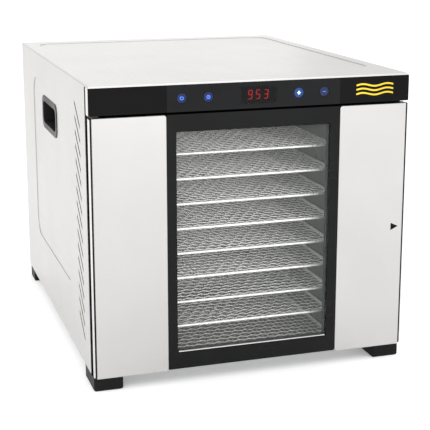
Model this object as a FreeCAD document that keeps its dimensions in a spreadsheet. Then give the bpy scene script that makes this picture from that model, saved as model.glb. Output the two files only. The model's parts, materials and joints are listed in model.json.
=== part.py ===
import FreeCAD, Part
import math
import os
import re

import Sketcher

# Ten-tray food dehydrator: steel cabinet, glazed side-hinged door, rear fan and heater.
# Frame: origin at the centre of the footprint on the floor, +Z up, the door faces -Y.
# Millimetres throughout. Every size comes from the sheet "Dims".

VECTOR = FreeCAD.Vector
TRAY_COUNT = 10
LOUVRE_COUNT = 16
GRILLE_COUNT = 11
BLADE_COUNT = 7
NET_COLUMNS = 22
NET_ROWS = 8

DIMENSIONS = (
    # overall
    ("width", 450.0, "across the cabinet and the door"),
    ("depth", 565.0, "door face to the rear edge of the cover"),
    ("height", 414.5, "floor to the top of the cover"),
    ("sheet", 0.8, "thickness of the outer steel sheet"),
    ("liner_sheet", 0.6, "thickness of the chamber's sheet"),
    ("slip", 0.1, "assembly gap between fixed pieces"),
    ("seam", 0.2, "visible joint between trim pieces"),
    # feet
    ("foot_height", 19.0, "floor to the underside of the base"),
    ("foot_width", 40.5, "foot, across"),
    ("foot_depth", 60.5, "front foot, front to back"),
    ("foot_rear_depth", 40.0, "rear foot, front to back"),
    ("foot_inset", 4.5, "front foot behind the door face"),
    ("foot_rear_inset", 11.0, "rear foot ahead of the rear edge"),
    ("foot_round", 3.0, "corner radius of a foot"),
    ("foot_chamfer", 2.0, "bevel around the underside of a foot"),
    ("foot_bolt", 40.0, "screw behind the front edge of the front foot"),
    ("foot_rear_bolt", 20.0, "screw behind the front edge of the rear foot"),
    ("foot_seat", 8.0, "foot material between screw head and base"),
    ("foot_recess", 5.0, "radius of the screw recess"),
    # screws
    ("screw_radius", 2.0, "shank"),
    ("screw_play", 0.2, "hole larger than the shank, in radius"),
    ("screw_head", 3.8, "radius of the head"),
    ("screw_crown", 2.2, "height of the head"),
    ("screw_grip", 3.0, "foot screw beyond the base"),
    ("back_screw", 8.0, "length of the rear screws"),
    # front planes, counted back from the door face
    ("cover_inset", 24.0, "front edge of the cover's sides"),
    ("frame_inset", 24.5, "front face of the mouth frame"),
    ("door_depth", 16.5, "back of the door liner"),
    ("skin_depth", 3.5, "depth of the folded door skins"),
    ("frame_step", 0.4, "window frame behind the door skins"),
    # heights, counted down from the top or up from the base
    ("lip_drop", 2.5, "rolled front lip of the cover"),
    ("lip_thick", 1.2, "folded front lip of the cover"),
    ("module_height", 36.0, "control module"),
    ("module_gap", 3.0, "gap between control module and door"),
    ("door_lift", 2.0, "door above the feet"),
    ("skin_hang", 1.8, "steel panels below the window frame"),
    ("mouth_drop", 48.5, "top of the chamber below the top of the cover"),
    ("mouth_lift", 7.0, "bottom of the chamber above the feet"),
    ("mouth_corner", 6.0, "corner radius of the mouth"),
    ("frame_corner", 2.4, "corner radius of the sheets inside the cover"),
    # door
    ("flank_width", 99.4, "steel panel beside the window"),
    ("groove", 3.5, "from the hinge edge to the steel panel"),
    ("free_groove", 2.7, "from the free edge to the steel panel"),
    ("panel_round", 1.2, "rounded front edge of the steel panel"),
    ("panel_corner", 4.0, "corner of the steel panel next to the window"),
    ("panel_tip", 1.6, "outer corner of the steel panel"),
    ("window_border", 13.0, "black border beside the glass"),
    ("window_low", 23.5, "black border below the glass"),
    ("window_high", 23.3, "black border above the glass"),
    ("window_corner", 1.5, "corner radius of the window"),
    ("glass_lap", 8.0, "glass held behind the border"),
    ("glass_thick", 3.0, "glass pane"),
    ("strip", 1.2, "thickness of the bright edge strips"),
    ("strip_depth", 7.0, "depth of the door's edge strip"),
    ("strip_round", 2.5, "corner radius of the edge strips"),
    ("module_strip_depth", 14.2, "depth of the module's edge strip"),
    ("rib_step", 0.9, "liner rib behind the door face"),
    ("gasket_lap", 9.0, "gasket outside the mouth, each side"),
    ("gasket_width", 4.5, "width of the gasket at the sides"),
    ("gasket_bar", 2.5, "width of the gasket at top and bottom"),
    ("gasket_inset", 1.5, "gasket inside the edge of the door"),
    ("gasket_corner", 8.0, "corner radius of the gasket"),
    ("gasket_air", 0.4, "gasket to mouth frame"),
    ("pull_height", 10.2, "pull mark, upright"),
    ("pull_length", 10.8, "pull mark, across"),
    ("pull_side", 6.8, "tip of the pull mark from the edge of the panel"),
    ("pull_deep", 0.45, "thickness of the pull mark"),
    ("pull_play", 0.3, "recess around the pull mark"),
    # hinge
    ("hinge_side", 6.0, "hinge axis from the left edge"),
    ("hinge_back", 9.0, "hinge axis behind the door face"),
    ("pin_radius", 2.0, "hinge pin"),
    ("pin_play", 0.05, "running clearance of pins and shafts"),
    ("bush_radius", 3.2, "outside of the hinge bush"),
    ("bush_length", 16.0, "length of the hinge bush"),
    ("pin_short", 2.0, "pin ends short of its bush"),
    ("bracket", 1.8, "thickness of the hinge brackets"),
    ("bracket_edge", 2.8, "hinge bracket from the side of the cabinet"),
    ("bracket_width", 11.0, "hinge bracket, across"),
    ("bracket_lead", 4.0, "hinge bracket ahead of the hinge axis"),
    ("bracket_length", 34.0, "lower hinge bracket, front to back"),
    ("bracket_leg", 13.0, "flange of the upper bracket, upright"),
    ("bracket_air", 0.5, "door to upper bracket"),
    ("bracket_play", 0.4, "lower bracket in the notch of its foot"),
    # catches
    ("catch_side", 48.0, "catch from the side of the cabinet"),
    ("catch_rise", 45.2, "lower catch above the base"),
    ("catch_drop", 50.0, "how much less than the mouth the catches are apart"),
    ("magnet_width", 12.0, "magnet, across"),
    ("magnet_height", 30.0, "magnet, upright"),
    ("magnet_depth", 10.0, "magnet behind the mouth frame"),
    ("magnet_play", 0.2, "magnet in the mouth frame"),
    ("catch_air", 1.0, "magnet to strike plate"),
    ("plate_width", 16.0, "strike plate, across"),
    ("plate_height", 34.0, "strike plate, upright"),
    ("plate_thick", 1.2, "strike plate"),
    # chamber
    ("side_cavity", 89.0, "chamber wall from the side of the cabinet"),
    ("fan_room", 100.0, "baffle ahead of the back panel"),
    ("back_inset", 8.0, "back panel ahead of the rear edge"),
    ("rail_width", 14.0, "tray rail, off the wall"),
    ("rail_thick", 0.9, "tray rail"),
    ("rail_end", 4.0, "tray rail from either end of its wall"),
    ("tray_play", 7.0, "tray to chamber wall, each side"),
    ("tray_front", 29.5, "front of the tray behind the door face"),
    ("tray_back", 12.0, "back of the tray ahead of the baffle"),
    ("tray_rod", 2.0, "radius of the tray's rim rod"),
    ("tray_corner", 23.0, "corner radius of the rim"),
    ("tray_low", 10.1, "first tray above the chamber floor"),
    ("tray_high", 17.1, "last tray below the chamber ceiling"),
    ("tray_lift", 0.35, "rim above its rail"),
    ("net_wire", 1.5, "width of a bar of the net"),
    ("net_thick", 1.2, "thickness of the net"),
    ("net_lift", 0.4, "net above the middle of the rim"),
    ("baffle_hole", 6.0, "radius of a hole in the baffle"),
    ("baffle_edge", 24.0, "outer holes of the baffle from its edge"),
    # cover and base
    ("bend", 3.0, "outside of the cover's bend, in sheet thicknesses"),
    ("rear_flange", 12.0, "flange that takes the rear screws"),
    ("back_screw_side", 7.0, "rear screws from the edge of the cover"),
    ("back_screw_end", 40.0, "rear screws from the ends of the side flanges"),
    ("back_screw_mid", 120.0, "top rear screws from the middle"),
    ("emboss", 0.9, "step of the pressed fields"),
    ("side_field_front", 140.0, "side field behind the door face"),
    ("side_field_back", 114.5, "side field ahead of the rear edge"),
    ("side_field_low", 90.0, "side field above the base"),
    ("side_field_high", 41.0, "side field below the top"),
    ("side_field_round", 30.0, "corner radius of the side field"),
    ("top_field_side", 22.0, "top field from the sides"),
    ("top_field_front", 72.0, "top field behind the door face"),
    ("top_field_back", 32.0, "top field ahead of the rear edge"),
    ("top_field_round", 26.0, "corner radius of the top field"),
    ("pan_wall", 12.0, "upturned edge of the base"),
    ("vent_side", 58.0, "floor vents from the edge of the base"),
    ("vent_front", 150.0, "floor vents from the front of the base"),
    ("vent_width", 6.0, "floor vent"),
    ("vent_length", 120.0, "floor vent"),
    ("wiring_width", 200.0, "opening behind the control module"),
    ("wiring_edge", 6.0, "sheet above and below that opening"),
    # side features
    ("louvre_run", 35.5, "louvre, front to back"),
    ("louvre_rise", 30.0, "louvre, bottom to top"),
    ("louvre_slot", 5.4, "louvre opening, measured upright"),
    ("louvre_front", 59.0, "front end of the louvres"),
    ("louvre_low", 34.0, "lowest louvre above the base"),
    ("louvre_high", 29.6, "highest louvre below the top"),
    ("handle_length", 112.6, "hand recess, front to back"),
    ("handle_height", 37.7, "hand recess, upright"),
    ("handle_drop", 67.0, "top of the hand recess below the top"),
    ("handle_front", 245.9, "front end of the hand recess"),
    ("handle_depth", 26.0, "how far the hand recess goes in"),
    ("handle_rim", 6.5, "rim around the hand recess"),
    ("handle_corner", 11.0, "corner radius of the hand recess"),
    ("cup_wall", 2.0, "wall of the hand recess"),
    ("rim_thick", 1.1, "thickness of the rim"),
    # rear
    ("grille_width", 130.0, "intake slot"),
    ("grille_slot", 5.0, "intake slot, upright"),
    ("grille_rise", 120.0, "first to last intake slot"),
    ("gland_side", 170.0, "cable entry from the middle"),
    ("gland_rise", 40.0, "cable entry above the base"),
    ("gland_radius", 9.0, "body of the cable entry"),
    ("gland_rim", 3.0, "rim of the cable entry beyond its body"),
    ("gland_thick", 2.5, "rim of the cable entry"),
    ("gland_reach", 10.0, "cable entry ahead of the back panel"),
    ("gland_stand", 7.6, "cable entry behind the back panel's front face"),
    ("cord_bore", 4.0, "bore of the cable entry"),
    # controls
    ("fascia_front", 0.3, "fascia behind the door face"),
    ("fascia_thick", 2.9, "fascia plate"),
    ("fascia_ear", 1.0, "fascia in front of the edge strips"),
    ("fascia_edge", 0.3, "fascia short of the module, top and bottom"),
    ("fascia_corner", 1.2, "corner radius of the fascia"),
    ("insert_thick", 1.8, "centre insert"),
    ("carrier_side", 8.0, "side wall of the carrier"),
    ("carrier_wall", 3.0, "top and bottom wall of the carrier"),
    ("carrier_face", 2.0, "front wall of the carrier"),
    ("post_side", 115.0, "circuit board posts from the middle"),
    ("post_edge", 7.0, "circuit board posts from top and bottom"),
    ("post_radius", 2.5, "circuit board post"),
    ("board_half", 118.0, "half the length of the control board"),
    ("board_thick", 1.6, "circuit boards"),
    ("board_edge", 4.0, "control board from top and bottom"),
    ("board_back", 11.0, "control board behind the door face"),
    ("button_radius", 6.5, "push button"),
    ("button_play", 0.5, "gap around a push button"),
    ("button_travel", 0.9, "push button"),
    ("button_length", 9.7, "push button, front to back"),
    ("button_rise", 0.2, "buttons and display above the middle of the module"),
    ("collar_rim", 2.0, "collar beyond the push button"),
    ("collar_thick", 1.0, "collar of the push button"),
    ("collar_air", 0.5, "collar behind the carrier's front wall"),
    ("power_side", 101.4, "first button left of the middle"),
    ("timer_side", 65.1, "second button left of the middle"),
    ("plus_side", 62.0, "third button right of the middle"),
    ("minus_side", 98.8, "fourth button right of the middle"),
    ("display_width", 50.0, "display window"),
    ("display_height", 22.0, "display window"),
    ("display_thick", 1.6, "display window"),
    ("display_shift", 5.0, "display right of the middle"),
    ("digit_width", 7.0, "lit digit"),
    ("digit_height", 12.2, "lit digit"),
    ("digit_bar", 1.2, "bar of a lit digit"),
    ("digit_pitch", 11.0, "from digit to digit"),
    ("digit_gap", 0.25, "between the bars of a digit"),
    ("digit_thick", 0.4, "bar of a lit digit, front to back"),
    ("mark_length", 55.0, "airflow mark"),
    ("mark_side", 79.0, "airflow mark from the right edge"),
    ("mark_line", 2.3, "thickness of a line of the airflow mark"),
    ("mark_wave", 1.5, "height of a wave of the airflow mark"),
    ("mark_deep", 0.28, "airflow mark, front to back"),
    # fan
    ("fan_radius", 84.0, "impeller"),
    ("hub_rim", 11.0, "hub of the impeller beyond the shaft"),
    ("hub_length", 22.0, "hub of the impeller"),
    ("blade_width", 34.0, "blade, across its sweep"),
    ("blade_rise", 19.0, "blade, front to back"),
    ("blade_thick", 2.0, "blade"),
    ("blade_root", 3.0, "blade root inside the hub"),
    ("shaft_radius", 4.0, "fan shaft"),
    ("shaft_length", 46.0, "fan shaft"),
    ("fan_ahead", 76.0, "front of the shaft ahead of the back panel"),
    ("motor_radius", 36.0, "fan motor"),
    ("motor_length", 36.0, "fan motor"),
    ("motor_air", 10.0, "fan motor ahead of the back panel"),
    ("boss_radius", 9.0, "front boss of the motor"),
    ("boss_length", 4.0, "front boss of the motor"),
    ("strap_width", 140.0, "motor bracket, across"),
    ("strap_height", 24.0, "motor bracket, upright"),
    ("strap_thick", 2.0, "motor bracket"),
    ("strap_foot", 12.0, "foot of the motor bracket"),
    # heater and electrics
    ("heater_radius", 102.0, "outer heater ring"),
    ("heater_step", 12.0, "between the heater rings"),
    ("heater_rod", 3.2, "radius of the heater's sheath"),
    ("heater_ahead", 86.0, "heater ahead of the back panel"),
    ("heater_post", 4.0, "radius of a heater post"),
    ("cutout_side", 60.0, "safety switch right of the middle"),
    ("cutout_ahead", 60.0, "safety switch ahead of the back panel"),
    ("cutout_radius", 8.0, "safety switch"),
    ("cutout_height", 9.0, "safety switch"),
    ("cutout_tab", 5.0, "terminals of the safety switch"),
    ("supply_side", 46.0, "supply board from the side"),
    ("supply_ahead", 190.0, "supply board from the rear edge"),
    ("supply_length", 110.0, "supply board, front to back"),
    ("supply_height", 120.0, "supply board, upright"),
    ("relay_width", 16.0, "relay, off the board"),
    ("relay_length", 28.0, "relay, front to back"),
    ("coil_width", 18.0, "filter coil, off the board"),
    ("coil_height", 26.0, "filter coil, upright"),
    ("capacitor_radius", 9.0, "capacitor"),
    ("capacitor_length", 26.0, "capacitor, off the board"),
)

os.makedirs("parts", exist_ok=True)
doc = FreeCAD.newDocument("FoodDehydrator")
sheet = doc.addObject("Spreadsheet::Sheet", "Dims")
for row, (alias, size, note) in enumerate(DIMENSIONS, start=1):
    sheet.set("A%d" % row, alias)
    sheet.set("B%d" % row, str(size))
    sheet.set("C%d" % row, note)
    sheet.setAlias("B%d" % row, alias)
doc.recompute()

ALIASES = {alias for alias, size, note in DIMENSIONS}
NODES = []

# Lengths that several pieces share, written in terms of the sheet.
FRONT = "-depth / 2"
BODY_HEIGHT = "(height - foot_height)"
INNER_WIDTH = "(width - 2 * sheet - 2 * slip)"
DOOR_LOW = "(foot_height + door_lift)"
DOOR_TOP = "(height - lip_drop - module_height - module_gap)"
DOOR_HEIGHT = "(height - lip_drop - module_height - module_gap - foot_height - door_lift)"
SKIN_LOW = "(foot_height + door_lift - skin_hang)"
MODULE_LOW = "(height - lip_drop - module_height)"
MODULE_BACK = "(fascia_front + fascia_thick)"
BUTTON_RISE = "(module_height / 2 + button_rise)"
BUTTON_Z = "(%s + %s)" % (MODULE_LOW, BUTTON_RISE)
MOUTH_LOW = "(foot_height + mouth_lift)"
MOUTH_HEIGHT = "(height - mouth_drop - foot_height - mouth_lift)"
CHAMBER_WIDTH = "(width - 2 * side_cavity)"
CENTRE_WIDTH = "(width - 2 * groove - 2 * flank_width - seam)"
WINDOW_WIDTH = "(%s - 2 * window_border)" % CENTRE_WIDTH
WINDOW_HEIGHT = "(%s - window_low - window_high)" % DOOR_HEIGHT
LINER_WIDTH = "(width - 2 * strip - 2 * seam)"
TRAY_PITCH = "((%s - tray_low - tray_high) / %d)" % (MOUTH_HEIGHT, TRAY_COUNT - 1)
HINGE_X = "-width / 2 + hinge_side"
BACK_PLANE = "(depth - back_inset)"
BAFFLE_PLANE = "(depth - back_inset - fan_room)"
FAN_Z = "(%s + %s / 2)" % (MOUTH_LOW, MOUTH_HEIGHT)
INNER_FRONT = "(frame_inset + sheet + slip)"
INNER_LENGTH = "(%s - frame_inset - sheet - 2 * slip)" % BACK_PLANE
SCREW_HOLE = "screw_radius + screw_play"
BUTTONS = (
    ("button_power", "-power_side"),
    ("button_timer", "-timer_side"),
    ("button_plus", "plus_side"),
    ("button_minus", "minus_side"),
)


# ---------------------------------------------------------------- expressions

def expression(text):
    """Write an alias as a reference to its cell."""
    def cell(match):
        word = match.group(0)
        return "Dims." + word if word in ALIASES else word
    return re.sub(r"[a-z_]+", cell, str(text))


def size_of(text):
    """The present value of an expression, for geometry that is drawn in code."""
    return float(sheet.evalExpression(expression(text)))


def bind(item, name, text):
    item.setExpression(name, expression(text))


def place(item, x, y, z, rotation=None):
    """Bind a position; the turn, where there is one, is fixed."""
    if rotation is not None:
        item.Placement = FreeCAD.Placement(VECTOR(0, 0, 0), rotation)
    for axis, text in zip("xyz", (x, y, z)):
        bind(item, "Placement.Base." + axis, text)


def behind(text):
    """A position counted back from the door face."""
    return "%s + %s" % (FRONT, text)


# ---------------------------------------------------------------- sketches

def new_body(label, x, y, z):
    body = doc.addObject("PartDesign::Body", label)
    body.Label = label
    place(body, x, y, z)
    return body


def new_sketch(body, role, x="0", y="0", lift="0"):
    """A sketch on one of the body's own planes, moved by bound offsets."""
    plane = next(item for item in body.Origin.OriginFeatures if item.Role == role)
    sketch = body.newObject("Sketcher::SketchObject", "Sketch")
    sketch.AttachmentSupport = (plane, [""])
    sketch.MapMode = "FlatFace"
    for axis, text in zip("xyz", (x, y, lift)):
        bind(sketch, "AttachmentOffset.Base." + axis, text)
    return sketch


def dimension(sketch, kind, *arguments):
    """A driving dimension bound to the sheet; the last argument is its expression."""
    text = arguments[-1]
    index = sketch.addConstraint(Sketcher.Constraint(kind, *arguments[:-1], size_of(text)))
    bind(sketch, "Constraints[%d]" % index, text)


def locate(sketch, curve, point, x, y):
    """Hold a point of a curve at a bound distance from the sketch's origin."""
    for kind, axis, text in (("DistanceX", -2, x), ("DistanceY", -1, y)):
        if str(text) == "0":
            sketch.addConstraint(Sketcher.Constraint("PointOnObject", curve, point, axis))
        else:
            dimension(sketch, kind, -1, 1, curve, point, text)


def rectangle(sketch, width, height, x="0", y="0"):
    left, low, across, up = (size_of(text) for text in (x, y, width, height))
    corners = ((left, low), (left + across, low), (left + across, low + up), (left, low + up))
    first = sketch.GeometryCount
    for start, end in zip(corners, corners[1:] + corners[:1]):
        sketch.addGeometry(Part.LineSegment(VECTOR(*start, 0), VECTOR(*end, 0)), False)
    for side in range(4):
        following = first + (side + 1) % 4
        sketch.addConstraint(Sketcher.Constraint("Coincident", first + side, 2, following, 1))
        level = "Horizontal" if side % 2 == 0 else "Vertical"
        sketch.addConstraint(Sketcher.Constraint(level, first + side))
    dimension(sketch, "DistanceX", first, 1, first, 2, width)
    dimension(sketch, "DistanceY", first + 1, 1, first + 1, 2, height)
    locate(sketch, first, 1, x, y)


def rounded_rectangle(sketch, width, height, radius, x="0", y="0"):
    left, low, across, up, bend = (size_of(text) for text in (x, y, width, height, radius))
    right, high = left + across, low + up
    lines = (
        ((left + bend, low), (right - bend, low)),
        ((right, low + bend), (right, high - bend)),
        ((right - bend, high), (left + bend, high)),
        ((left, high - bend), (left, low + bend)),
    )
    centres = (
        (right - bend, low + bend),
        (right - bend, high - bend),
        (left + bend, high - bend),
        (left + bend, low + bend),
    )
    first = sketch.GeometryCount
    for start, end in lines:
        sketch.addGeometry(Part.LineSegment(VECTOR(*start, 0), VECTOR(*end, 0)), False)
    for turn, centre in enumerate(centres):
        circle = Part.Circle(VECTOR(*centre, 0), VECTOR(0, 0, 1), bend)
        start_angle = (turn - 1) * math.pi / 2
        arc = Part.ArcOfCircle(circle, start_angle, start_angle + math.pi / 2)
        sketch.addGeometry(arc, False)
    for side in range(4):
        arc = first + 4 + side
        following = first + (side + 1) % 4
        sketch.addConstraint(Sketcher.Constraint("Tangent", first + side, 2, arc, 1))
        sketch.addConstraint(Sketcher.Constraint("Tangent", arc, 2, following, 1))
        level = "Horizontal" if side % 2 == 0 else "Vertical"
        sketch.addConstraint(Sketcher.Constraint(level, first + side))
    for side in range(1, 4):
        sketch.addConstraint(Sketcher.Constraint("Equal", first + 4, first + 4 + side))
    dimension(sketch, "Radius", first + 4, radius)
    dimension(sketch, "DistanceX", first + 3, 1, first + 1, 1, width)
    dimension(sketch, "DistanceY", first, 1, first + 2, 1, height)
    if str(x) == "0":
        sketch.addConstraint(Sketcher.Constraint("PointOnObject", first + 3, 1, -2))
    else:
        dimension(sketch, "DistanceX", -1, 1, first + 3, 1, x)
    if str(y) == "0":
        sketch.addConstraint(Sketcher.Constraint("PointOnObject", first, 1, -1))
    else:
        dimension(sketch, "DistanceY", -1, 1, first, 1, y)


def polygon(sketch, points):
    """A closed outline through points whose coordinates are bound and not negative."""
    places = [VECTOR(size_of(x), size_of(y), 0) for x, y in points]
    first = sketch.GeometryCount
    for start, end in zip(places, places[1:] + places[:1]):
        sketch.addGeometry(Part.LineSegment(start, end), False)
    for side, (x, y) in enumerate(points):
        before = first + (side - 1) % len(points)
        sketch.addConstraint(Sketcher.Constraint("Coincident", before, 2, first + side, 1))
    for side, (x, y) in enumerate(points):
        locate(sketch, first + side, 1, x, y)


def circle(sketch, x, y, radius):
    centre = VECTOR(size_of(x), size_of(y), 0)
    index = sketch.addGeometry(Part.Circle(centre, VECTOR(0, 0, 1), size_of(radius)), False)
    dimension(sketch, "Radius", index, radius)
    locate(sketch, index, 3, x, y)


# ---------------------------------------------------------------- features

def pad(body, sketch, length, along=True):
    """Add material along the sketch's normal, or against it."""
    feature = body.newObject("PartDesign::Pad", "Pad")
    feature.Profile = sketch
    feature.Reversed = not along
    bind(feature, "Length", length)
    doc.recompute()
    return feature


def pocket(body, sketch, length=None, along=True):
    """Remove material along the sketch's normal, or against it; no length goes through all."""
    before = body.Shape.Volume
    feature = body.newObject("PartDesign::Pocket", "Pocket")
    feature.Profile = sketch
    feature.Reversed = along
    if length is None:
        feature.Type = "ThroughAll"
    else:
        bind(feature, "Length", length)
    doc.recompute()
    if body.Shape.Volume >= before:
        raise ValueError("pocket removes nothing: " + body.Label)
    return feature


def row_of(body, feature, role, length, count):
    """Repeat a feature along one of the body's axes."""
    axis = next(item for item in body.Origin.OriginFeatures if item.Role == role)
    pattern = body.newObject("PartDesign::LinearPattern", "Row")
    pattern.Originals = [feature]
    pattern.Direction = (axis, [""])
    pattern.Occurrences = count
    bind(pattern, "Length", length)
    body.Tip = pattern
    doc.recompute()
    return pattern


def ring_of(body, feature, role, count):
    """Repeat a feature around one of the body's axes."""
    axis = next(item for item in body.Origin.OriginFeatures if item.Role == role)
    pattern = body.newObject("PartDesign::PolarPattern", "Ring")
    pattern.Originals = [feature]
    pattern.Axis = (axis, [""])
    pattern.Angle = 360
    pattern.Occurrences = count
    body.Tip = pattern
    doc.recompute()
    return pattern


def runs_along(edge, direction):
    if edge.Curve.TypeId != "Part::GeomLine":
        return False
    return abs(edge.tangentAt(edge.FirstParameter).dot(direction)) > 0.999


def fillet(body, radius, wanted, kind="Fillet"):
    """Round, or chamfer, the edges that pass a test on the edge."""
    base = body.Tip
    names = ["Edge%d" % (i + 1) for i, edge in enumerate(base.Shape.Edges) if wanted(edge)]
    feature = body.newObject("PartDesign::" + kind, kind)
    feature.Base = (base, names)
    bind(feature, "Radius" if kind == "Fillet" else "Size", radius)
    doc.recompute()
    return feature


def box(label, x, y, z, length, width, height):
    item = doc.addObject("Part::Box", label)
    item.Label = label
    bind(item, "Length", length)
    bind(item, "Width", width)
    bind(item, "Height", height)
    place(item, x, y, z)
    return item


TURNS = {
    "z": FreeCAD.Rotation(),
    "y": FreeCAD.Rotation(VECTOR(1, 0, 0), -90),
    "x": FreeCAD.Rotation(VECTOR(0, 1, 0), 90),
}


def cylinder(label, x, y, z, radius, length, axis="z"):
    """A cylinder that starts at the given point and runs along an axis of the frame."""
    item = doc.addObject("Part::Cylinder", label)
    item.Label = label
    bind(item, "Radius", radius)
    bind(item, "Height", length)
    place(item, x, y, z, TURNS[axis])
    return item


def fuse(label, *items):
    item = doc.addObject("Part::MultiFuse", label)
    item.Label = label
    item.Shapes = list(items)
    return item


def cut(label, base, tool):
    item = doc.addObject("Part::Cut", label)
    item.Label = label
    item.Base = base
    item.Tool = tool
    return item


def group(label, *items):
    """Separate solids that share one node, such as identical screws."""
    item = doc.addObject("Part::Compound", label)
    item.Label = label
    item.Links = list(items)
    return item


def node(item):
    """Take an item as a finished sub-part."""
    doc.recompute()
    NODES.append(item)
    return item


# ---------------------------------------------------------------- cabinet

def outer_cover():
    """Folded top and sides, with louvres, hand recess openings and pressed fields."""
    body = new_body("outer_cover", "-width / 2", FRONT, "foot_height")
    section = new_sketch(body, "XZ_Plane")
    polygon(section, (
        ("0", "0"),
        ("sheet", "0"),
        ("sheet", BODY_HEIGHT + " - sheet"),
        ("width - sheet", BODY_HEIGHT + " - sheet"),
        ("width - sheet", "0"),
        ("width", "0"),
        ("width", BODY_HEIGHT),
        ("0", BODY_HEIGHT),
    ))
    pad(body, section, "depth", along=False)
    top = size_of(BODY_HEIGHT)
    along_y = VECTOR(0, 1, 0)
    fillet(body, "sheet * bend", lambda edge: runs_along(edge, along_y)
           and edge.CenterOfMass.z > top - 0.01)
    fillet(body, "sheet * (bend - 1)", lambda edge: runs_along(edge, along_y)
           and abs(edge.CenterOfMass.z - top + size_of("sheet")) < 0.01)

    # the sides stop behind the door; the top reaches over the control module
    front = new_sketch(body, "YZ_Plane")
    rectangle(front, "cover_inset", BODY_HEIGHT + " - lip_drop")
    pocket(body, front)
    lip = new_sketch(body, "XZ_Plane", "sheet", BODY_HEIGHT + " - lip_drop")
    rectangle(lip, "width - 2 * sheet", "lip_drop - sheet / 2")
    pad(body, lip, "lip_thick", along=False)

    # rear flange that takes the back panel's screws
    flange = new_sketch(body, "XZ_Plane", "sheet / 2", "0", "-%s + sheet + slip" % BACK_PLANE)
    polygon(flange, (
        ("0", "0"),
        ("rear_flange", "0"),
        ("rear_flange", BODY_HEIGHT + " - rear_flange"),
        ("width - sheet - rear_flange", BODY_HEIGHT + " - rear_flange"),
        ("width - sheet - rear_flange", "0"),
        ("width - sheet", "0"),
        ("width - sheet", BODY_HEIGHT + " - sheet / 2"),
        ("0", BODY_HEIGHT + " - sheet / 2"),
    ))
    pad(body, flange, "sheet", along=False)
    holes = new_sketch(body, "XZ_Plane", "0", "0", "-%s + rear_flange" % BACK_PLANE)
    for x, z in back_screw_spots():
        circle(holes, "width / 2 + (%s)" % x, z, SCREW_HOLE)
    pocket(body, holes, "rear_flange", along=False)

    # pressed fields: the sheet steps in by the same amount on both of its faces
    for surface, inward in (("0", True), ("width", False)):
        sign = "+" if inward else "-"
        for lift, grow, feature in (("%s %s sheet" % (surface, sign), "sheet", pad),
                                    (surface, "0", pocket)):
            field = new_sketch(body, "YZ_Plane", "side_field_front - " + grow,
                               "side_field_low - " + grow, lift)
            rounded_rectangle(field, "depth - side_field_front - side_field_back + 2 * " + grow,
                              BODY_HEIGHT + " - side_field_low - side_field_high + 2 * " + grow,
                              "side_field_round + " + grow)
            feature(body, field, "emboss", along=inward)
    for lift, grow, feature in ((BODY_HEIGHT + " - sheet", "sheet", pad),
                                (BODY_HEIGHT, "0", pocket)):
        field = new_sketch(body, "XY_Plane", "top_field_side - " + grow, "top_field_front - " + grow,
                           lift)
        rounded_rectangle(field, "width - 2 * top_field_side + 2 * " + grow,
                          "depth - top_field_front - top_field_back + 2 * " + grow,
                          "top_field_round + " + grow)
        feature(body, field, "emboss", along=False)

    # hand recess openings, through both sides
    opening = new_sketch(body, "YZ_Plane", "handle_front - slip",
                         BODY_HEIGHT + " - handle_drop - handle_height - slip")
    rounded_rectangle(opening, "handle_length + 2 * slip", "handle_height + 2 * slip",
                      "handle_corner + slip")
    pocket(body, opening)

    # slanted louvres, through both sides
    slot = new_sketch(body, "YZ_Plane", "louvre_front", "louvre_low")
    polygon(slot, (
        ("0", "0"),
        ("louvre_run", "louvre_rise"),
        ("louvre_run", "louvre_rise + louvre_slot"),
        ("0", "louvre_slot"),
    ))
    row_of(body, pocket(body, slot), "Z_Axis",
           BODY_HEIGHT + " - louvre_low - louvre_high - louvre_rise - louvre_slot", LOUVRE_COUNT)
    return body


def back_screw_spots():
    """Rear screws: distance from the middle and height above the base."""
    spots = [(side + "(width / 2 - back_screw_side)", z) for side in ("-", "")
             for z in ("back_screw_end", BODY_HEIGHT + " / 2", BODY_HEIGHT + " - back_screw_end")]
    return spots + [(side + "back_screw_mid", BODY_HEIGHT + " - back_screw_side")
                    for side in ("-", "")]


def base_pan():
    """Folded floor pan between the sides of the cover."""
    body = new_body("base_pan", "-%s / 2" % INNER_WIDTH, behind(INNER_FRONT), "foot_height")
    section = new_sketch(body, "XZ_Plane")
    polygon(section, (
        ("0", "0"),
        (INNER_WIDTH, "0"),
        (INNER_WIDTH, "pan_wall"),
        (INNER_WIDTH + " - sheet", "pan_wall"),
        (INNER_WIDTH + " - sheet", "sheet"),
        ("sheet", "sheet"),
        ("sheet", "pan_wall"),
        ("0", "pan_wall"),
    ))
    pad(body, section, INNER_LENGTH + " - 2 * sheet - slip", along=False)
    holes = new_sketch(body, "XY_Plane")
    for side in ("-", "+"):
        x = "%s / 2 %s (width / 2 - foot_width / 2)" % (INNER_WIDTH, side)
        circle(holes, x, "foot_inset + foot_bolt - " + INNER_FRONT, SCREW_HOLE)
        circle(holes, x, "depth - foot_rear_inset - foot_rear_depth + foot_rear_bolt - " + INNER_FRONT,
               SCREW_HOLE)
    pocket(body, holes)
    vent = new_sketch(body, "XY_Plane", "vent_side", "vent_front")
    rounded_rectangle(vent, "vent_width", "vent_length", "vent_width / 2 - slip")
    row_of(body, pocket(body, vent), "X_Axis", INNER_WIDTH + " - 2 * vent_side - vent_width", 2)
    return body


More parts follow.
